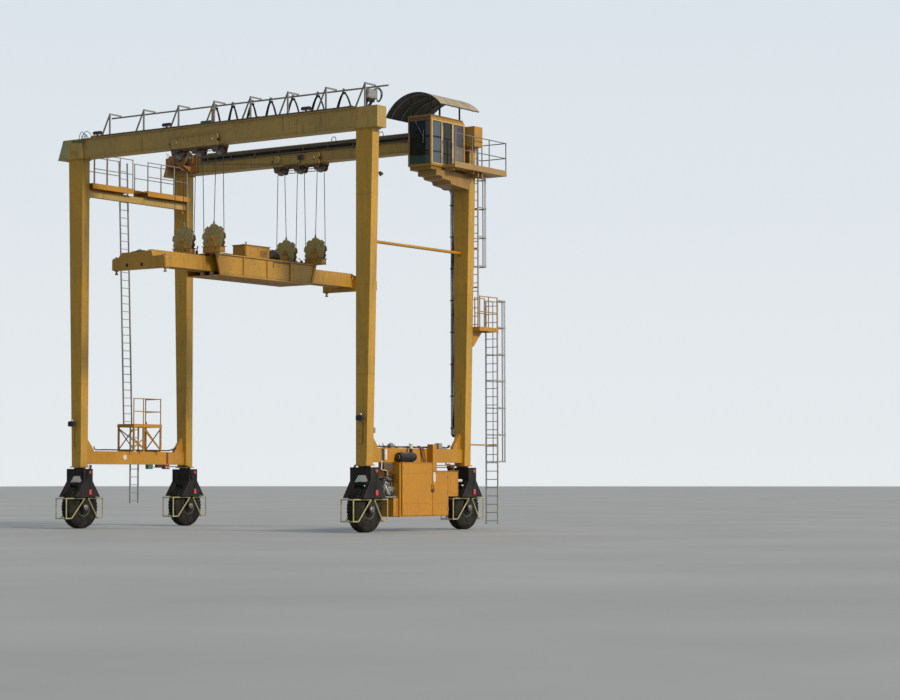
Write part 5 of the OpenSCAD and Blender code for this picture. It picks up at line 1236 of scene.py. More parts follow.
# Trolleys: caps and keepers of rollers and sheaves, grooved sheave rims, stiffeners and buffers
def trolley_fittings(label, side):
    y0 = side * FRAME_Y
    s = Shape()
    for d in (1, -1):
        # y counts outwards from a side plate's outer face
        s.at(0, y0 + d * 0.30, sy=d)
        for x in (-1.66, 0.02):
            s.turned((x, 0.04, 13.881), "y", [(0.075, -0.045), (0.075, -0.03), (0.058, -0.012), (0.05, 0.0),
                                              (0.02, 0.004), (0, 0.004)], 20)
            s.bolt_ring((x, 0, 13.881), 0.085, 4, "y", 0.010, 0.012, 45)
        for x in SHEAVE_XS:
            s.turned((x, 0.02, SHEAVE_Z), "y", [(0.052, -0.02), (0.052, 0.006), (0.04, 0.012), (0, 0.012)],
                     18)
            s.block((x - 0.075, 0, SHEAVE_Z + 0.046), (x + 0.075, 0.012, SHEAVE_Z + 0.080), 0.003)
            s.bolts((x - 0.055, x + 0.055), [0.012], [SHEAVE_Z + 0.063], "y", 0.009, 0.010)
        s.block((-1.88, 0, 14.062), (0.24, 0.028, 14.082), 0.004)
        s.block((-1.94, 0, 13.632), (0.30, 0.020, 13.648), 0.004)
        for x in (-1.92, -1.32, -1.10, -0.54, -0.32, 0.28):
            s.slab((x - 0.007, 13.648), (x + 0.007, 14.062), "y", 0, 0.020)
        s.bolts(spread(-1.82, 0.18, 9), [0], [14.03], "y", 0.009, 0.010)
        # struts between lobes
        for x in (-1.295, -0.345):
            s.bar((x - 0.33, -0.013, 13.47), (x + 0.33, -0.013, 13.47), 0.016, 8)
    # rope guards between the plates, and sheave rims
    s.at(0, y0, SHEAVE_Z)
    for x in SHEAVE_XS:
        for dx in (-0.155, 0.155):
            s.bar((x + dx, -0.285, 0.145), (x + dx, 0.285, 0.145), 0.012, 8)
    s.mat(1)
    for x, d in product(SHEAVE_XS, (-1, 1)):
        s.at(x, y0, SHEAVE_Z, sy=d)
        s.turned((0, 0.020, 0), "y", [(0.148, -0.004), (0.182, 0.006), (0.184, 0.015),
                                                                (0.13, 0.019), (0.06, 0.030), (0.05, 0.06)])
    # buffers
    s.mat(2)
    for x, d in ((-1.94, -1), (0.30, 1)):
        for y in (-0.287, 0.287):
            s.at(x, y0 + y, 13.86, d).turned((0, 0, 0), "x", [(0.045, -0.01), (0.045, 0.012), (0.035, 0.016),
                                                              (0.04, 0.05), (0, 0.056)], 14)
    # guide sheave of the rope from the winch, with its bracket and guard
    s.at(-1.66, 0, 13.89, sy=side).mat(1)
    s.turned((0, 2.535, 0), "y", [(0.03, 0), (0.14, 0.004), (0.14, 0.018), (0.122, 0.03), (0.14, 0.042),
                                  (0.14, 0.056), (0.03, 0.06)])
    s.mat(0).plate([(-0.10, -0.09), (0.10, -0.09), (0.14, 0.09), (0.06, 0.17), (-0.06, 0.17), (-0.14, 0.09)],
                   "y", 2.512, 2.524)
    for x, z in ((-0.10, 0.10), (0.10, 0.10), (0, 0.155)):
        s.bar((x, 2.512, z), (x, 2.632, z), 0.014, 8)
        s.bolt((x, 2.512, z), "-y", 0.012, 0.012)
    s.bar((0, 2.505, 0), (0, 2.632, 0), 0.028)
    # cable duct and small junction box on the inner plate
    s.at(sy=side).mat(3).block((-0.70, 2.63, 13.86), (-0.42, 2.545, 14.02), 0.01)
    s.block((-0.685, 2.545, 13.875), (-0.435, 2.538, 14.005), 0.004)
    s.pipe([(-0.60, 2.58, 13.86), (-0.60, 2.585, 13.76), (-0.75, 2.60, 13.70), (-1.2, 2.61, 13.69),
            (-1.45, 2.60, 13.72)],
           0.012)
    s.mat(4)
    for x in (-1.66, 0.02):
        s.bar((x, 2.585, 13.90), (x, 2.578, 13.90), 0.008, 8)
    if side < 0:
        # towing arm of the festoon
        s.at(-0.54).mat(0).plate([(-0.06, 13.98), (0.06, 13.98), (0.035, 15.12), (-0.035, 15.12)], "y", -2.56,
                                 -2.548)
        s.bar((0, -2.63, 14.00), (0, -2.555, 14.02), 0.03, 8)
        s.bar((0, -2.63, 14.06), (0, -2.555, 14.40), 0.012, 6)
        s.bar((0, -2.554, 15.08), (0, -2.36, 15.08), 0.018, 8)
    s.make(f"{label}_trolley_fittings", "trolley bare tyre dark orange", f"{label}_trolley", "yellow_paint")


# Spreader: flange lips, bolts, pipes, power unit, sheave blocks
BEAM_XS = (0.33, -0.11)     # beams of the near arm from LOAD_X; the far arm's are mirrored


def spreader_frame_fittings():
    s = Shape()
    for d in (-1, 1):
        s.at(LOAD_X + d * 0.75, sx=d)
        # lips of the four bays, with thin brown strips of painted shade under the top lips and above the
        # bottom lips
        for y0, y1, top0, top1 in ((-2.55, -1.38, -2.75, -1.38), (-1.32, -0.03, -1.32, -0.03),
                                   (0.03, 1.32, 0.03, 1.32), (1.38, 2.55, 1.38, 2.75)):
            s.mat(0).block((0, top0, 9.812), (0.038, top1, 9.860), 0.004)
            s.block((0, y0, 9.080), (0.038, y1, 9.140), 0.004)
            # painted shade: thin brown strips under the top lip and above the bottom lip
            s.mat(5).block((0, top0, 9.786), (0.003, top1, 9.812), 0.001)
            s.block((0, y0, 9.140), (0.004, y1, 9.158), 0.001)
        s.mat(0).bolts([0.04], (-1.35, 0, 1.35), spread(9.17, 9.795, 6), "x", 0.010, 0.010)
        # lifting holes with rings, and bare plates
        for y in (-1.9, -0.7, 0.6, 1.9):
            s.turned((0, y, 9.62), "x", [(0.035, -0.004), (0.038, 0.006), (0.026, 0.007), (0.024, -0.004)],
                     16)
        s.block((0, -0.42, 9.40), (0.004, -0.20, 9.50), 0.001)
        s.block((0, -2.06, 9.30), (0.005, -2.03, 9.47), 0.001)
        s.block((0, -1.50, 9.26), (0.005, -1.44, 9.34), 0.001)
    # longitudinal ribs below and hatches above
    s.at(LOAD_X)
    for x in (-0.55, -0.18, 0.18, 0.55):
        s.block((x - 0.02, -2.5, 9.06), (x + 0.02, 2.5, 9.082), 0.003)
    for y in (-1.75, 1.9):
        s.block((-0.32, y - 0.28, 9.858), (0.32, y + 0.28, 9.872), 0.003)
        s.bolts((-0.29, 0, 0.29), (y - 0.25, y + 0.25), [9.872], "z", 0.009, 0.010)
    # wear pads at the mouths of the box, above and below the arms
    s.mat(1)
    for side, x in product((-1, 1), BEAM_XS):
        s.at(LOAD_X - side * x, sy=side).block((-0.07, 2.60, 9.768), (0.07, 2.69, 9.835), 0.006)
        s.block((-0.07, 2.56, 9.105), (0.07, 2.65, 9.222), 0.006)
    # hydraulic pipes along the top edge, and clips
    s.mat(2)
    z = 9.885
    for x in (0.62, 0.665):
        s.at(LOAD_X + x).pipe([(-0.34, -0.73, 9.93), (-0.30, -0.86, 9.90), (-0.10, -0.98, z), (0, -1.12, z),
                               (0, -1.8, z), (0, -2.35, z)], 0.013)
        s.pipe([(-0.30, 1.40, 9.90), (-0.08, 1.55, z), (0, 1.70, z), (0, 2.4, z)], 0.013)
    s.at(LOAD_X).mat(3)
    for y in (-2.2, -1.7, -1.2, 1.8, 2.3):
        s.block((0.595, y - 0.015, 9.86), (0.69, y + 0.015, 9.905), 0.003)
    # conduit in the third bay of both faces
    for d in (-1, 1):
        s.at(LOAD_X + d * 0.762).bar((0, 0.45, 9.755), (0, 1.31, 9.755), 0.011, 8)
        s.pipe([(0, 0.45, 9.755), (0, 0.38, 9.75), (0, 0.36, 9.68), (0, 0.36, 9.56)], 0.011, steps=5)
    # sensor bracket by the right pedestal, red lever by the left one
    s.at(LOAD_X).block((0.26, 2.56, 9.86), (0.32, 2.66, 10.02), 0.008)
    s.bar((0.29, 2.60, 10.0), (0.24, 2.50, 10.10), 0.016, 8)
    s.at().mat(4).block((-1.16, -2.74, 9.86), (-1.08, -2.66, 10.0), 0.01)
    s.bar((-1.12, -2.70, 9.98), (-1.02, -2.76, 10.16), 0.022, 8)
    s.make("spreader_frame_fittings", "spreader wear_pad hose dark dark_red brown", "spreader",
           "yellow_paint")


def power_unit_fittings():
    s = Shape()
    # panels with bolts on the two long sides, louvres and latches
    for d in (-1, 1):
        s.at(LOAD_X + d * 0.30, sx=d)
        for y0, y1 in ((-0.66, -0.03), (0.03, 0.66)):
            s.block((0, y0, 9.90), (0.008, y1, 10.31), 0.003)
            s.bolts([0.008], (y0 + 0.03, (y0 + y1) / 2, y1 - 0.03), (9.93, 10.28), "x", 0.007, 0.008)
        for z in spread(9.98, 10.18, 5):
            s.plate([(0.006, z), (0.030, z - 0.004), (0.008, z + 0.030)], "y", 0.16, 0.53)
        s.block((0, -0.40, 10.06), (0.022, -0.34, 10.10), 0.004)
    # end panels with handles
    for d in (-1, 1):
        s.at(LOAD_X, d * 0.69, 10.12, sy=d).block((-0.27, 0, -0.22), (0.27, 0.008, 0.19), 0.003)
        for x in (-0.23, 0.23):
            for dx in (-0.02, 0.02):
                s.bar((x + dx, 0.010, 0), (x + dx, 0.034, 0), 0.006, 6)
            s.bar((x - 0.03, 0.034, 0), (x + 0.03, 0.034, 0), 0.008, 6)
    # hinges, handles and filler cap of the lid
    s.at(LOAD_X, 0, 10.34)
    for y in (-0.5, 0.0, 0.5):
        s.bar((-0.336, y - 0.06, 0.018), (-0.336, y + 0.06, 0.018), 0.014, 10)
        s.block((-0.35, y - 0.055, -0.05), (-0.328, y + 0.055, 0.01), 0.003)
    for y in (-0.45, 0.45):
        s.tube([(0, y - 0.07, 0.028), (0, y - 0.06, 0.07), (0, y + 0.06, 0.07), (0, y + 0.07, 0.028)], 0.008)
    s.turned((0.28, -0.64, 0.028), "z", [(0.035, 0), (0.035, 0.03), (0.02, 0.045), (0.03, 0.055),
                                         (0.03, 0.09), (0, 0.10)], 14)
    s.block((-0.33, -0.72, -0.48), (0.33, -0.69, -0.455), 0.004)
    # motor: fins, end covers, terminal box
    s.at(LOAD_X + 0.15, 0, 10.07).mat(1)
    for k in range(17):
        s.turned((0, 0.84 + 0.024 * k, 0), "y", [(0.146, 0), (0.168, 0.001), (0.168, 0.008), (0.146, 0.009)],
                 28)
    s.turned((0, 1.25, 0), "y", [(0.15, 0), (0.165, 0.002), (0.165, 0.055), (0.145, 0.075), (0.05, 0.08),
                                 (0.04, 0.07), (0, 0.07)], 28)
    s.turned((0, 0.815, 0), "-y", [(0.15, -0.01), (0.155, 0.0), (0.155, 0.02), (0.09, 0.04), (0.075, 0.10),
                                   (0.06, 0.12), (0, 0.12)], 28)
    s.block((-0.09, 0.94, 0.13), (0.09, 1.12, 0.23), 0.014)
    s.tube(arc((0, 1.20, 0.15), 0.03, 0, 180, 8), 0.008, 6)
    # hoses between the box and the pump, with pale fittings
    ports = ((0.02, 10.20), (0.10, 10.12), (0.20, 10.24), (0.26, 10.04), (-0.10, 10.15))
    s.at(LOAD_X).mat(2)
    for k, ((x, z), r) in enumerate(zip(ports, (0.020, 0.017, 0.016, 0.018, 0.016))):
        s.pipe([(x, 0.69, z), (x + 0.01, 0.78, z + 0.02),
                (x + 0.02 * (k - 1), 0.84 + 0.02 * k, z + 0.05 - 0.03 * k),
                (0.07 + 0.04 * k, 0.86, 10.21 - 0.05 * k)], r)
    s.pipe([(0.22, 0.70, 10.0), (0.30, 0.80, 9.96), (0.34, 1.0, 9.90), (0.32, 1.38, 9.90)], 0.017)
    s.mat(3)
    for x, z in ports:
        s.bar((x, 0.69, z), (x, 0.73, z), 0.026, 6)
    s.bar((0.24, 0.70, 10.27), (0.24, 0.83, 10.27), 0.034)
    s.block((0.02, 0.76, 9.88), (0.14, 0.80, 9.98), 0.01)
    s.make("power_unit_fittings", "spreader motor hose white", "spreader", "yellow_paint")


def sheave_block_fittings():
    s = Shape()
    for sx, sy in product((-1, 1), repeat=2):
        x, y = LOAD_X + sx * BLOCK_X, sy * FRAME_Y
        for d in (-1, 1):
            # guard disc with bolts and ribs
            s.at(x, y + d * 0.09, BLOCK_Z, sy=d).mat(1)
            s.turned((0, 0, 0), "y", [(0.15, -0.003), (0.15, 0.004), (0.13, 0.009), (0.12, 0.009)])
            for a in range(30, 390, 60):
                s.bolt(circle((0, 0, 0), 0.33, a), "y", 0.013, 0.013)
                if a not in (210, 270):
                    rib = a + math.degrees(0.5)
                    s.bar(circle((0, 0, 0), 0.16, rib), circle((0, 0, 0), 0.37, rib), 0.007, 6)
            # pin head and keeper on the lug
            s.at(x, y + d * 0.14, BLOCK_Z, sy=d).mat(0)
            s.turned((0, 0, 0), "y", [(0.062, -0.004), (0.062, 0.028), (0.05, 0.036), (0, 0.036)], 20)
            s.block((-0.085, 0, -0.098), (0.085, 0.012, -0.060), 0.003)
            s.bolts((-0.06, 0.06), [0.012], [-0.079], "y", 0.010, 0.010)
            # gussets at the foot of each lug and bolts along the box's foot
            s.at(x, y + d * 0.14, 10.09, sy=d)
            for dx in (-0.20, 0.20):
                s.plate([(0, 0), (0.05, 0), (0, 0.11)], "x", dx - 0.006, dx + 0.006)
            s.bolts(spread(-0.34, 0.34, 5), [0], [-0.14], "y", 0.011, 0.011)
            s.block((-0.41, 0, -0.228), (0.41, 0.025, -0.212), 0.004)
        for d in (-1, 1):
            s.at(x, y, sx=d).block((0.40, -0.12, 9.90), (0.408, 0.12, 10.05), 0.003)
        s.at(x, y).mat(2).block((0.12, -0.150, 9.97), (0.20, -0.142, 10.03), 0.002)
    s.make("sheave_block_fittings", "spreader guard_disc green", "spreader", "yellow_paint")


# Arms: twistlocks, lips of the end beams, slots, drive boxes and hoses
SLOT_XS = (-1.335, -0.656)


def arm_fittings(label, side):
    # lips along the end beam, inside its outer face
    s = Shape().at(LOAD_X, sy=side)
    for z, x in product((9.082, 9.40), (-1.1595, 0.56)):
        s.block((x, 5.84, z), (x + 0.5995, 5.8625, z + 0.018), 0.004)
    for d in (-1, 1):
        s.at(LOAD_X + d * 1.2195, sx=d, sy=side).block((0, 5.88, 9.10), (0.012, 6.105, 9.42), 0.004)
        s.bolts([0.012], (5.91, 6.075), (9.14, 9.38), "x", 0.011, 0.012)
    # reinforcing frames round the two slots in the outer face, and strips near its ends
    s.at(sy=side)
    for x in SLOT_XS:
        s.slab((x - 0.075, 9.165), (x + 0.075, 9.300), "y", 6.1205, 6.1235)
    for x in (LOAD_X - 0.9195, LOAD_X + 0.9195):
        s.slab((x - 0.02, 9.10), (x + 0.02, 9.47), "y", 6.1205, 6.1235)
    # drives on top: a painted lump and a blue-grey cover
    s.block((-1.77, 5.93, 9.49), (-1.30, 6.09, 9.60), 0.03)
    s.turned((-1.55, 6.03, 9.59), "z", [(0.07, 0), (0.07, 0.03), (0.055, 0.055), (0.03, 0.06), (0, 0.06)], 18)
    s.mat(1).plate([(-1.22, 9.672), (-0.74, 9.672), (-0.71, 9.728), (-1.17, 9.712)], "y", 5.90, 6.06)
    # dark patches on the slots: painted shade standing for the openings
    s.mat(2)
    for x in SLOT_XS:
        s.slab((x - 0.055, 9.180), (x + 0.055, 9.285), "y", 6.122, 6.1245)
    # hoses from the beams to the drives
    for k, (xa, xb) in enumerate(((-0.9, -1.35), (-0.5, -0.72), (-0.6, -0.25))):
        s.pipe([(xa, 5.79, 9.70 - 0.05 * k), ((3 * xa + xb) / 4, 5.80, 9.79 - 0.05 * k),
                ((xa + xb) / 2, 5.83, 9.76 - 0.06 * k), (xb, 5.88, 9.66 - 0.04 * k),
                (xb, 5.95, 9.62 - 0.04 * k)], 0.014)
    # twistlocks: collar, cone, cap and lever
    s.mat(3)
    for d in (-1, 1):
        s.at(LOAD_X + d * 1.13, side * 5.9925, sx=d)
        s.turned((0, 0, 9.08), "-z", [(0.085, 0), (0.085, 0.018), (0.052, 0.022), (0.045, 0.05)], 24)
        s.turned((0, 0, 8.985), "-z", [(0.030, -0.02), (0.044, 0.0), (0.046, 0.02), (0.030, 0.045),
                                       (0.014, 0.055), (0, 0.055)], 20)
        s.turned((0, 0, 9.50), "z", [(0.05, 0), (0.05, 0.03), (0.03, 0.06), (0, 0.062)], 16)
        s.bar((0, 0, 9.53), (-0.20, 0, 9.52), 0.012, 8)
    # locating lips where each beam meets the end beam
    s.mat(0)
    for x, dx in product(BEAM_XS, (-0.115, 0.100)):
        s.at(LOAD_X - side * x, sy=side).block((dx, 5.80, 9.20), (dx + 0.015, 5.8625, 9.66), 0.003)
    s.make(f"{label}_arm_fittings", "spreader blue_grey hose bare", f"{label}_arm", "yellow_paint")


for label, side in SIDES:
    winch_fittings(label, side)
    trolley_fittings(label, side)
spreader_frame_fittings()
power_unit_fittings()
sheave_block_fittings()
for label, side in SIDES:
    arm_fittings(label, side)


# Lamps on the legs and on the girder
def lamps():
    s = Shape()
    for x in (-6.65, 6.65):
        s.at(x, -3.335, 3.85).mat(0).turned((0, 0, 0), "-y", [(0.085, -0.03), (0.098, -0.02), (0.098, 0.012),
                                                              (0.082, 0.018), (0.076, 0.006)], 24)
        s.mat(1).turned((0, 0, 0), "-y", [(0.08, 0.004), (0.05, 0.010), (0, 0.014)], 24)
        # bracket, cooling ribs, housings and the lead
        for d in (-1, 1):
            s.at(x, 0, 0, d).mat(0).slab((-3.30, 3.80), (-3.24, 3.96), "x", 0.135, 0.141)
            s.bolt((0.141, -3.27, 3.85), "x", 0.014, 0.014)
        s.at(x).bar((-0.14, -3.27, 3.955), (0.14, -3.27, 3.955), 0.007, 8)
        for z in spread(3.78, 3.90, 5):
            s.slab((-0.11, z), (0.11, z + 0.006), "y", -3.235, -3.215)
        s.mat(2).block((0.03, -3.36, 3.955), (0.10, -3.30, 4.01), 0.012)
        s.block((-0.10, -3.34, 3.75), (-0.05, -3.28, 3.775), 0.008)
        s.mat(3).pipe([(0, -3.20, 3.80), (0.02, -3.17, 3.70), (0.02, -3.135, 3.58), (0, -3.13, 3.40),
                       (0, -3.13, 3.0)], 0.009, 6)
    for x in (-5.79, -2.38, 4.04):
        s.at(x).mat(0)
        for dx in spread(-0.15, 0.15, 7):
            s.plate([(-2.995, 14.675), (-2.845, 14.675), (-2.865, 14.705), (-2.975, 14.705)], "x", dx,
                    dx + 0.005)
        s.block((-0.155, -3.006, 14.60), (0.155, -2.998, 14.67), 0.003)
        for d in (-1, 1):
            s.at(x, -2.92, 0, d).tube([(0.178, 0, 14.635), (0.178, 0, 14.50), (0.10, 0, 14.47),
                                       (0, 0, 14.47)], 0.008, 6)
            s.bolt((0.17, 0, 14.635), "x", 0.012, 0.012)
        s.at(x).mat(1).block((-0.145, -3.000, 14.582), (0.145, -2.86, 14.592), 0.003)
        s.mat(3).pipe([(0.06, -2.86, 14.62), (0.10, -2.80, 14.56), (0.14, -2.78, 14.48),
                       (0.30, -2.80, 14.455), (0.9, -2.80, 14.452)], 0.008, 6)
        s.mat(2).block((0.20, -2.99, 14.44), (0.32, -2.88, 14.50), 0.01)
    s.at().mat(4).block((-2.30, -3.02, 14.44), (-2.12, -2.90, 14.50), 0.012)
    # small lamp high on the near right leg's inner side
    s.at(7.06, -2.66, 12.16).mat(0)
    s.turned((0, 0, 0), (0.5, 0.3, -0.8), [(0.03, -0.09), (0.05, -0.07), (0.075, 0.0), (0.08, 0.05),
                                           (0.07, 0.055)], 18)
    s.bar((-0.08, -0.08, 0.06), (-0.01, -0.02, 0.04), 0.012, 8)
    s.block((-0.13, -0.085, -0.01), (-0.05, -0.075, 0.13), 0.004)
    s.mat(1).turned((0, 0, 0), (0.5, 0.3, -0.8), [(0.07, 0.045), (0, 0.052)], 18)
    s.make("lamp_fittings", "dark lamp_lens white hose dusty_pink", "frame", "black_paint")


# Girders: cable trays, hose loops, joint plates, lifting lugs and patches of paint
def cable_trays():
    s = Shape()
    # on top of the near girder
    x0, x1 = -5.65, 6.25
    for y in (-3.155, -3.025):
        s.slab((x0, 14.44), (x1, 14.505), "y", y - 0.003, y + 0.003)
    s.block((x0, -3.155, 14.440), (x1, -3.025, 14.446), 0.001)
    for k in range(12):
        s.at(x0 + 0.3 + 1.02 * k).block((0, -3.16, 14.503), (0.05, -3.02, 14.512), 0.002)
    # along the far girder's inner face
    x1 = 5.82
    s.at()
    for z in (14.140, 14.392):
        s.block((x0, 2.735, z), (x1, 2.668, z + 0.008), 0.002)
    for z0, z1 in ((14.30, 14.40), (14.14, 14.19)):
        s.slab((x0, z0), (x1, z1), "y", 2.664, 2.670)
    for k in range(10):
        s.at(x0 + 0.4 + 1.18 * k).block((0, 2.662, 14.14), (0.04, 2.672, 14.40), 0.002)
        s.block((0, 2.67, 14.10), (0.04, 2.742, 14.142), 0.003)
    s.at().mat(1)
    for k, (y, z, r) in enumerate(((2.70, 14.17, 0.018), (2.715, 14.21, 0.022), (2.70, 14.255, 0.018),
                                   (2.71, 14.30, 0.015), (-3.12, 14.466, 0.018), (-3.08, 14.468, 0.020),
                                   (-3.045, 14.462, 0.014))):
        s.tube([(x, y + 0.004 * math.sin(1.3 * i + k), z + 0.004 * math.sin(1.7 * i + 2 * k))
                for i, x in enumerate(spread(x0 + 0.05, x1 - 0.05, 25))], r, 6)
    # hooks that stand on the far girder
    for x in (0.75, 2.95):
        s.at(x, 2.80).tube([*arc((0.10, 0, 14.52), 0.10, 180, 0, 8), (0.20, 0, 14.44)], 0.014, 6)
        s.bar((0, 0, 14.44), (0, 0, 14.52), 0.014, 6)
    s.make("cable_trays", "cable_tray hose", "frame", "hose")


def smear(s, x, z, w, h, n=14):
    """Patch of primer with a ragged edge on the near girder's outer face."""
    outline = []
    for k in range(n):
        a, q = 2 * math.pi * k / n, 0.75 + 0.4 * rng.random()
        outline.append((x + w * q * math.cos(a) / 2, z + h * q * math.sin(a) / 2))
    s.plate(outline, "y", -3.1935, -3.1905)


def girder_fittings():
    s = Shape().at(z=GIRDER_TOP)
    for k, (x0, x1, top) in enumerate(((-6.78, -6.46, 0.32), (-6.62, -6.28, 0.22), (-6.52, -6.07, 0.30),
                                       (-6.40, -6.22, 0.14))):
        y = -2.86 - 0.05 * k
        s.pipe([(x0, y, 0), (x0 + 0.02, y, top * 0.62), ((x0 + x1) / 2, y - 0.02, top),
                (x1 - 0.03, y, top * 0.55), (x1, y, 0)], 0.011, 6, 7)
    # short hose loops at the feet of the festoon posts
    for k in range(7):
        s.tube(arc((-5.01 + 1.68 * k, -2.86, 0.02), 0.05 + 0.012 * (k % 3), 0, 180, 9), 0.010, 6)
    s.mat(1).block((-0.70, -3.02, 0), (-0.18, -2.84, 0.175), 0.02)
    s.block((-0.69, -3.026, 0.03), (-0.19, -3.018, 0.16), 0.003)
    s.mat(2)
    for side in (-1, 1):
        for x in (-5.95, 1.9, 5.9):
            s.at(x, side * FRAME_Y, GIRDER_TOP)
            s.plate([(-0.10, 0), (0.10, 0), (0.045, 0.12), (-0.045, 0.12)], "y", -0.012, 0.012)
            s.turned((0, -0.016, 0.075), "y", [(0.030, 0), (0.042, 0.002), (0.042, 0.030), (0.030, 0.032)],
                     16)
        # joint plates with bolts at the girder's splice, outside and inside
        for x, d in product((-3.62, 3.62), (-1, 1)):
            s.at(x, side * FRAME_Y + d * 0.19, 0, sy=d).block((-0.20, 0, 13.80), (0.20, 0.008, 14.36), 0.003)
            s.bolts((-0.15, -0.06, 0.06, 0.15), [0.008], (13.86, 13.98, 14.10, 14.22, 14.31), "y", 0.010,
                    0.009)
    s.at().mat(3)
    smear(s, -6.42, 14.345, 0.44, 0.15)
    smear(s, -6.75, 14.36, 0.24, 0.10)
    s.mat(4)
    smear(s, -6.72, 13.96, 0.34, 0.17)
    smear(s, -6.60, 13.85, 0.18, 0.10)
    # pale cap plate at the girder's end with two bolts
    s.mat(6).plate([(-7.50, 13.76), (-7.02, 13.76), (-7.02, 14.40), (-7.28, 14.40)], "y", -3.1975, -3.190)
    s.mat(2).bolts((-7.30, -7.12), [-3.1975], [13.86], "-y", 0.018, 0.014)
    s.mat(5).block((6.42, -3.196, 13.98), (6.50, -3.189, 14.40), 0.003)
    # fresh paint on the far girder's right end, behind the cab
    s.mat(7).block((7.298, 2.70, 13.74), (7.305, 3.16, 14.42), 0.003)
    s.block((6.99, 2.733, 13.80), (7.30, 2.741, 14.42), 0.003)
    for side in (-1, 1):
        s.bolts((-7.50, -6.10), [side * 3.16], [13.76], "z", 0.014, 0.012)
    s.make("girder_fittings", "hose grey_green girder green_primer ochre_patch orange end_cap yellow",
           "frame", "yellow_paint")


# Legs: flange bolts, weld beads, covers and a conduit
def leg_fittings():
    s = Shape()
    for sx, sy in product((-1, 1), repeat=2):
        s.at(sx=sx, sy=sy)
        for z, axis, out in ((2.28, "z", LEG_IN + 0.44), (13.68, "-z", leg_outer(13.68))):
            x0, x1 = LEG_IN - 0.025, out + 0.025
            s.bolts(spread(x0 + 0.02, x1 - 0.02, 4), (2.715, 3.145), [z], axis, 0.012, 0.014)
            for y in (2.80, 2.93, 3.06):
                s.bolts((x0, x1), [y], [z], axis, 0.012, 0.014)
        # weld beads at the joints of the leg's plates
        for z in (5.35, 8.40, 11.45):
            x = leg_outer(z)
            s.tube([(LEG_IN, 2.74, z), (x, 2.74, z), (x, 3.12, z), (LEG_IN, 3.12, z)], 0.006, 6, closed=True)
        # inspection cover near the foot
        s.block((6.44, 3.12, 2.98), (6.62, 3.128, 3.24), 0.003)
        s.bolts((6.46, 6.60), [3.128], (3.0, 3.22), "y", 0.008, 0.008)
    s.make("leg_bolts_and_welds", "leg", "frame", "yellow_paint")
    # conduit with clips and boxes along the near right leg's inner face
    s = Shape()
    path = [(leg_outer(z) - 0.055, -2.722, z) for z in (3.50, 4.6, 5.8, 7.0, 8.15)]
    s.tube(path, 0.016)
    s.pipe([path[-1], (6.86, -2.715, 8.30), (6.80, -2.72, 8.38), (6.62, -2.725, 8.40)], 0.016)
    s.tube([(6.52, -2.722, 8.42), (6.52, -2.722, 10.0), (6.52, -2.722, 13.60)], 0.016)
    s.pipe([(leg_outer(3.46) - 0.10, -2.715, 3.40), (leg_outer(3.3) - 0.12, -2.70, 3.25), (6.60, -2.68, 3.12),
            (6.50, -2.69, 2.96)], 0.018)
    s.mat(1)
    clips = [(leg_outer(z) - 0.055, z) for z in spread(3.9, 7.9, 5)]
    clips += [(6.52, z) for z in spread(8.9, 12.5, 4)]
    for x, z in clips:
        s.block((x - 0.035, -2.735, z), (x + 0.035, -2.700, z + 0.03), 0.003)
    s.mat(2).block((6.70, -2.738, 3.36), (6.84, -2.655, 3.54), 0.012)
    s.block((6.44, -2.738, 8.30), (6.64, -2.665, 8.48), 0.012)
    s.make("leg_conduit", "hose galvanised grey", "frame", "hose")


# Walkways and landings: tread plates, brackets, tie ends and ladder fittings
def walkway_fittings():
    s = Shape()
    for x0, y0, y1, z, n in ((-6.93, -2.70, -0.50, WALK_Z, 3), (-6.93, 0.33, 2.70, WALK_Z, 3),
                             (-7.03, -0.39, 1.16, LANDING_Z, 2)):
        joints = spread(y0, y1, n + 1)
        for a, b in zip(joints, joints[1:]):
            s.block((x0, a + 0.006, z), (-6.22, b - 0.006, z + 0.006), 0.002)
            s.bolts((x0 + 0.04, -6.26), (a + 0.05, b - 0.05), [z + 0.006], "z", 0.008, 0.006)
    # brackets and stiffeners under the left walkway and its tie
    s.mat(1)
    for y in spread(-2.62, -0.60, 4) + spread(0.44, 2.62, 4):
        s.plate([(-6.93, 12.626), (-6.60, 12.626), (-6.60, 12.44)], "y", y - 0.006, y + 0.006)
    for side in (-1, 1):
        s.at(sy=side).block((-6.61, 2.74, 12.28), (-6.39, 2.728, 12.66), 0.004)
        s.bolts((-6.585, -6.415), [2.728], (12.31, 12.47, 12.62), "-y", 0.012, 0.012)
        s.plate([(2.74, 12.33), (2.52, 12.33), (2.74, 12.10)], "x", -6.506, -6.494)
        # end of the right tie pipe
        s.turned((6.60, 2.74, 9.90), "-y", [(0.12, 0), (0.12, 0.014), (0.062, 0.016), (0.060, 0.10),
                                            (0.056, 0.10)], 24)
        s.bolt_ring((6.60, 2.726, 9.90), 0.09, 4, "-y", 0.010, 0.011, 45)
    s.at().block((-7.05, 1.17, 3.90), (-6.98, 1.19, 4.02), 0.004)
    # bolts of the upper ladder, shoes and bolts of the lower one
    s.mat(2).bolts((6.50, 6.96), [3.38], (8.0, 10.2, 12.4), "y", 0.012, 0.02)
    for x in (6.63, 7.13):
        s.block((x - 0.05, 4.33, 0.172), (x + 0.05, 4.43, 0.19), 0.004)
        s.bolts([x], [4.405], (2.4, 4.7, 7.1), "y", 0.012, 0.02)
    s.make("walkway_fittings", "floor_plate yellow galvanised", "frame", "yellow_paint")


lamps()
cable_trays()
girder_fittings()
leg_fittings()
walkway_fittings()


# Floor, light and camera
FLOOR_SIZE = 400.0
FOCAL_PX, IMAGE_WIDTH = 2316.0, 900.0
CAMERA_AT = (53.49, -65.70, 1.80)
AZIMUTH, PITCH, ROLL = 34.66, 3.186, -0.11


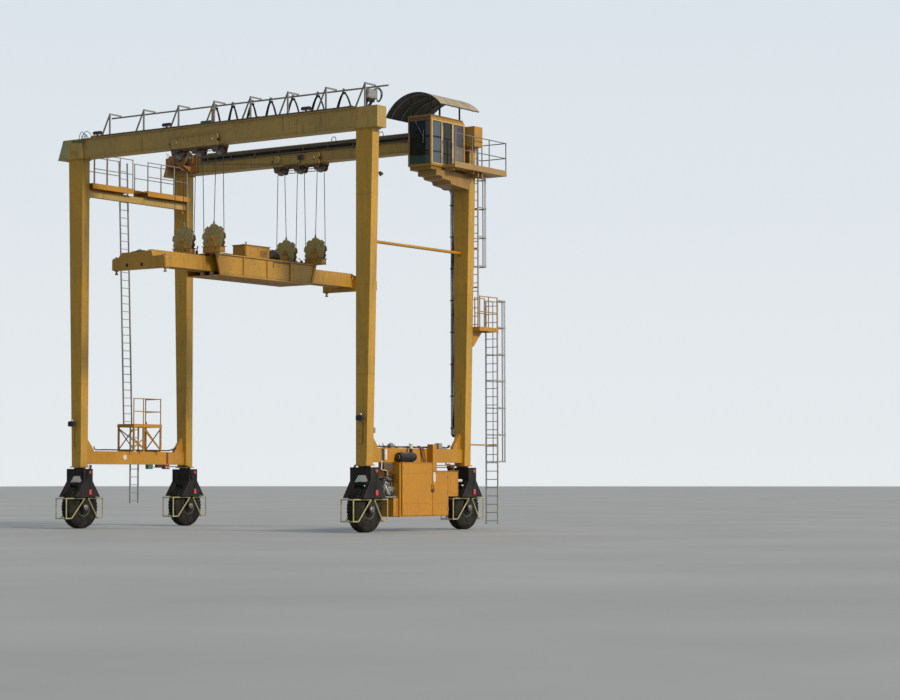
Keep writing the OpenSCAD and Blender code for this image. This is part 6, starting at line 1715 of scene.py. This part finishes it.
def floor():
    m = Nodes("stage_floor")
    colour = m.mix(m.cloud(0.12, 4, 0.3, 0.7), (0.34, 0.34, 0.33), (0.40, 0.40, 0.39))
    m.finish(colour, 0.85, m.bump(m.noise(6.0, 4), 0.15, 0.01))
    s, r = Shape(), FLOOR_SIZE
    s.v = [(-r, -r, 0), (r, -r, 0), (r, r, 0), (-r, r, 0)]
    s.faces([(0, 1, 2, 3)])
    s.make("stage_floor", "stage_floor")


def sky():
    world = bpy.data.worlds.new("soft_sky")
    world.use_nodes = True
    nodes, links = world.node_tree.nodes, world.node_tree.links
    nodes.clear()
    kinds = ("OutputWorld", "Background", "TexCoord", "SeparateXYZ", "ValToRGB", "ValToRGB", "Math", "Mix")
    out, back, coord, sep, ramp, side, half, both = [nodes.new("ShaderNode" + kind) for kind in kinds]
    # the sky is brightest beyond the crane
    for node, stops in ((ramp, ((0.0, (0.86, 0.90, 0.92)), (0.6, (0.60, 0.72, 0.86)))),
                        (side, ((0.35, (0.26, 0.27, 0.28)), (0.72, (1, 1, 1))))):
        for e, (place, colour) in zip(node.color_ramp.elements, stops):
            e.position, e.color = place, (*colour, 1)
    half.operation, both.data_type, both.blend_type = "MULTIPLY_ADD", "RGBA", "MULTIPLY"
    half.inputs[1].default_value, half.inputs[2].default_value = 0.5, 0.5
    both.inputs[0].default_value, back.inputs[1].default_value = 1.0, 0.92
    for a, b in ((back.outputs[0], out.inputs[0]), (coord.outputs["Generated"], sep.inputs[0]),
                 (sep.outputs["Z"], ramp.inputs[0]), (sep.outputs["Y"], half.inputs[0]),
                 (half.outputs[0], side.inputs[0]), (ramp.outputs[0], both.inputs[6]),
                 (side.outputs[0], both.inputs[7]), (both.outputs[2], back.inputs[0])):
        links.new(a, b)
    bpy.context.scene.world = world


def add(name, data):
    obj = bpy.data.objects.new(name, data)
    bpy.context.scene.collection.objects.link(obj)
    return obj


def lights():
    for name, energy, colour, angle, direction in (
            ("key_light", 2.6, (1.0, 0.87, 0.70), 10, (-0.86, 0.03, -0.50)),
            ("fill_light", 0.25, (0.9, 0.95, 1.0), 60, (-0.25, 0.85, -0.45))):
        data = bpy.data.lights.new(name, "SUN")
        data.energy, data.color, data.angle = energy, colour, math.radians(angle)
        obj = add(name, data)
        obj.rotation_mode = "QUATERNION"
        obj.rotation_quaternion = Vector(direction).to_track_quat("-Z", "Y")


def camera():
    data = bpy.data.cameras.new("camera")
    data.sensor_width = 36.0
    data.lens = data.sensor_width * FOCAL_PX / IMAGE_WIDTH
    data.clip_start, data.clip_end = 1.0, 1500.0
    obj = add("camera", data)
    azimuth, pitch, roll = [math.radians(a) for a in (AZIMUTH, PITCH, ROLL)]
    right = Vector((math.cos(azimuth), math.sin(azimuth), 0))
    level = Vector((-math.sin(azimuth), math.cos(azimuth), 0))
    up = Vector((0, 0, 1))
    ahead = level * math.cos(pitch) + up * math.sin(pitch)
    top = up * math.cos(pitch) - level * math.sin(pitch)
    side = right * math.cos(roll) + top * math.sin(roll)
    top = top * math.cos(roll) - right * math.sin(roll)
    obj.matrix_world = Matrix.Translation(CAMERA_AT) @ Matrix((side, top, -ahead)).transposed().to_4x4()
    bpy.context.scene.camera = obj


floor()
sky()
lights()
camera()
bpy.context.scene.view_settings.view_transform = "Standard"
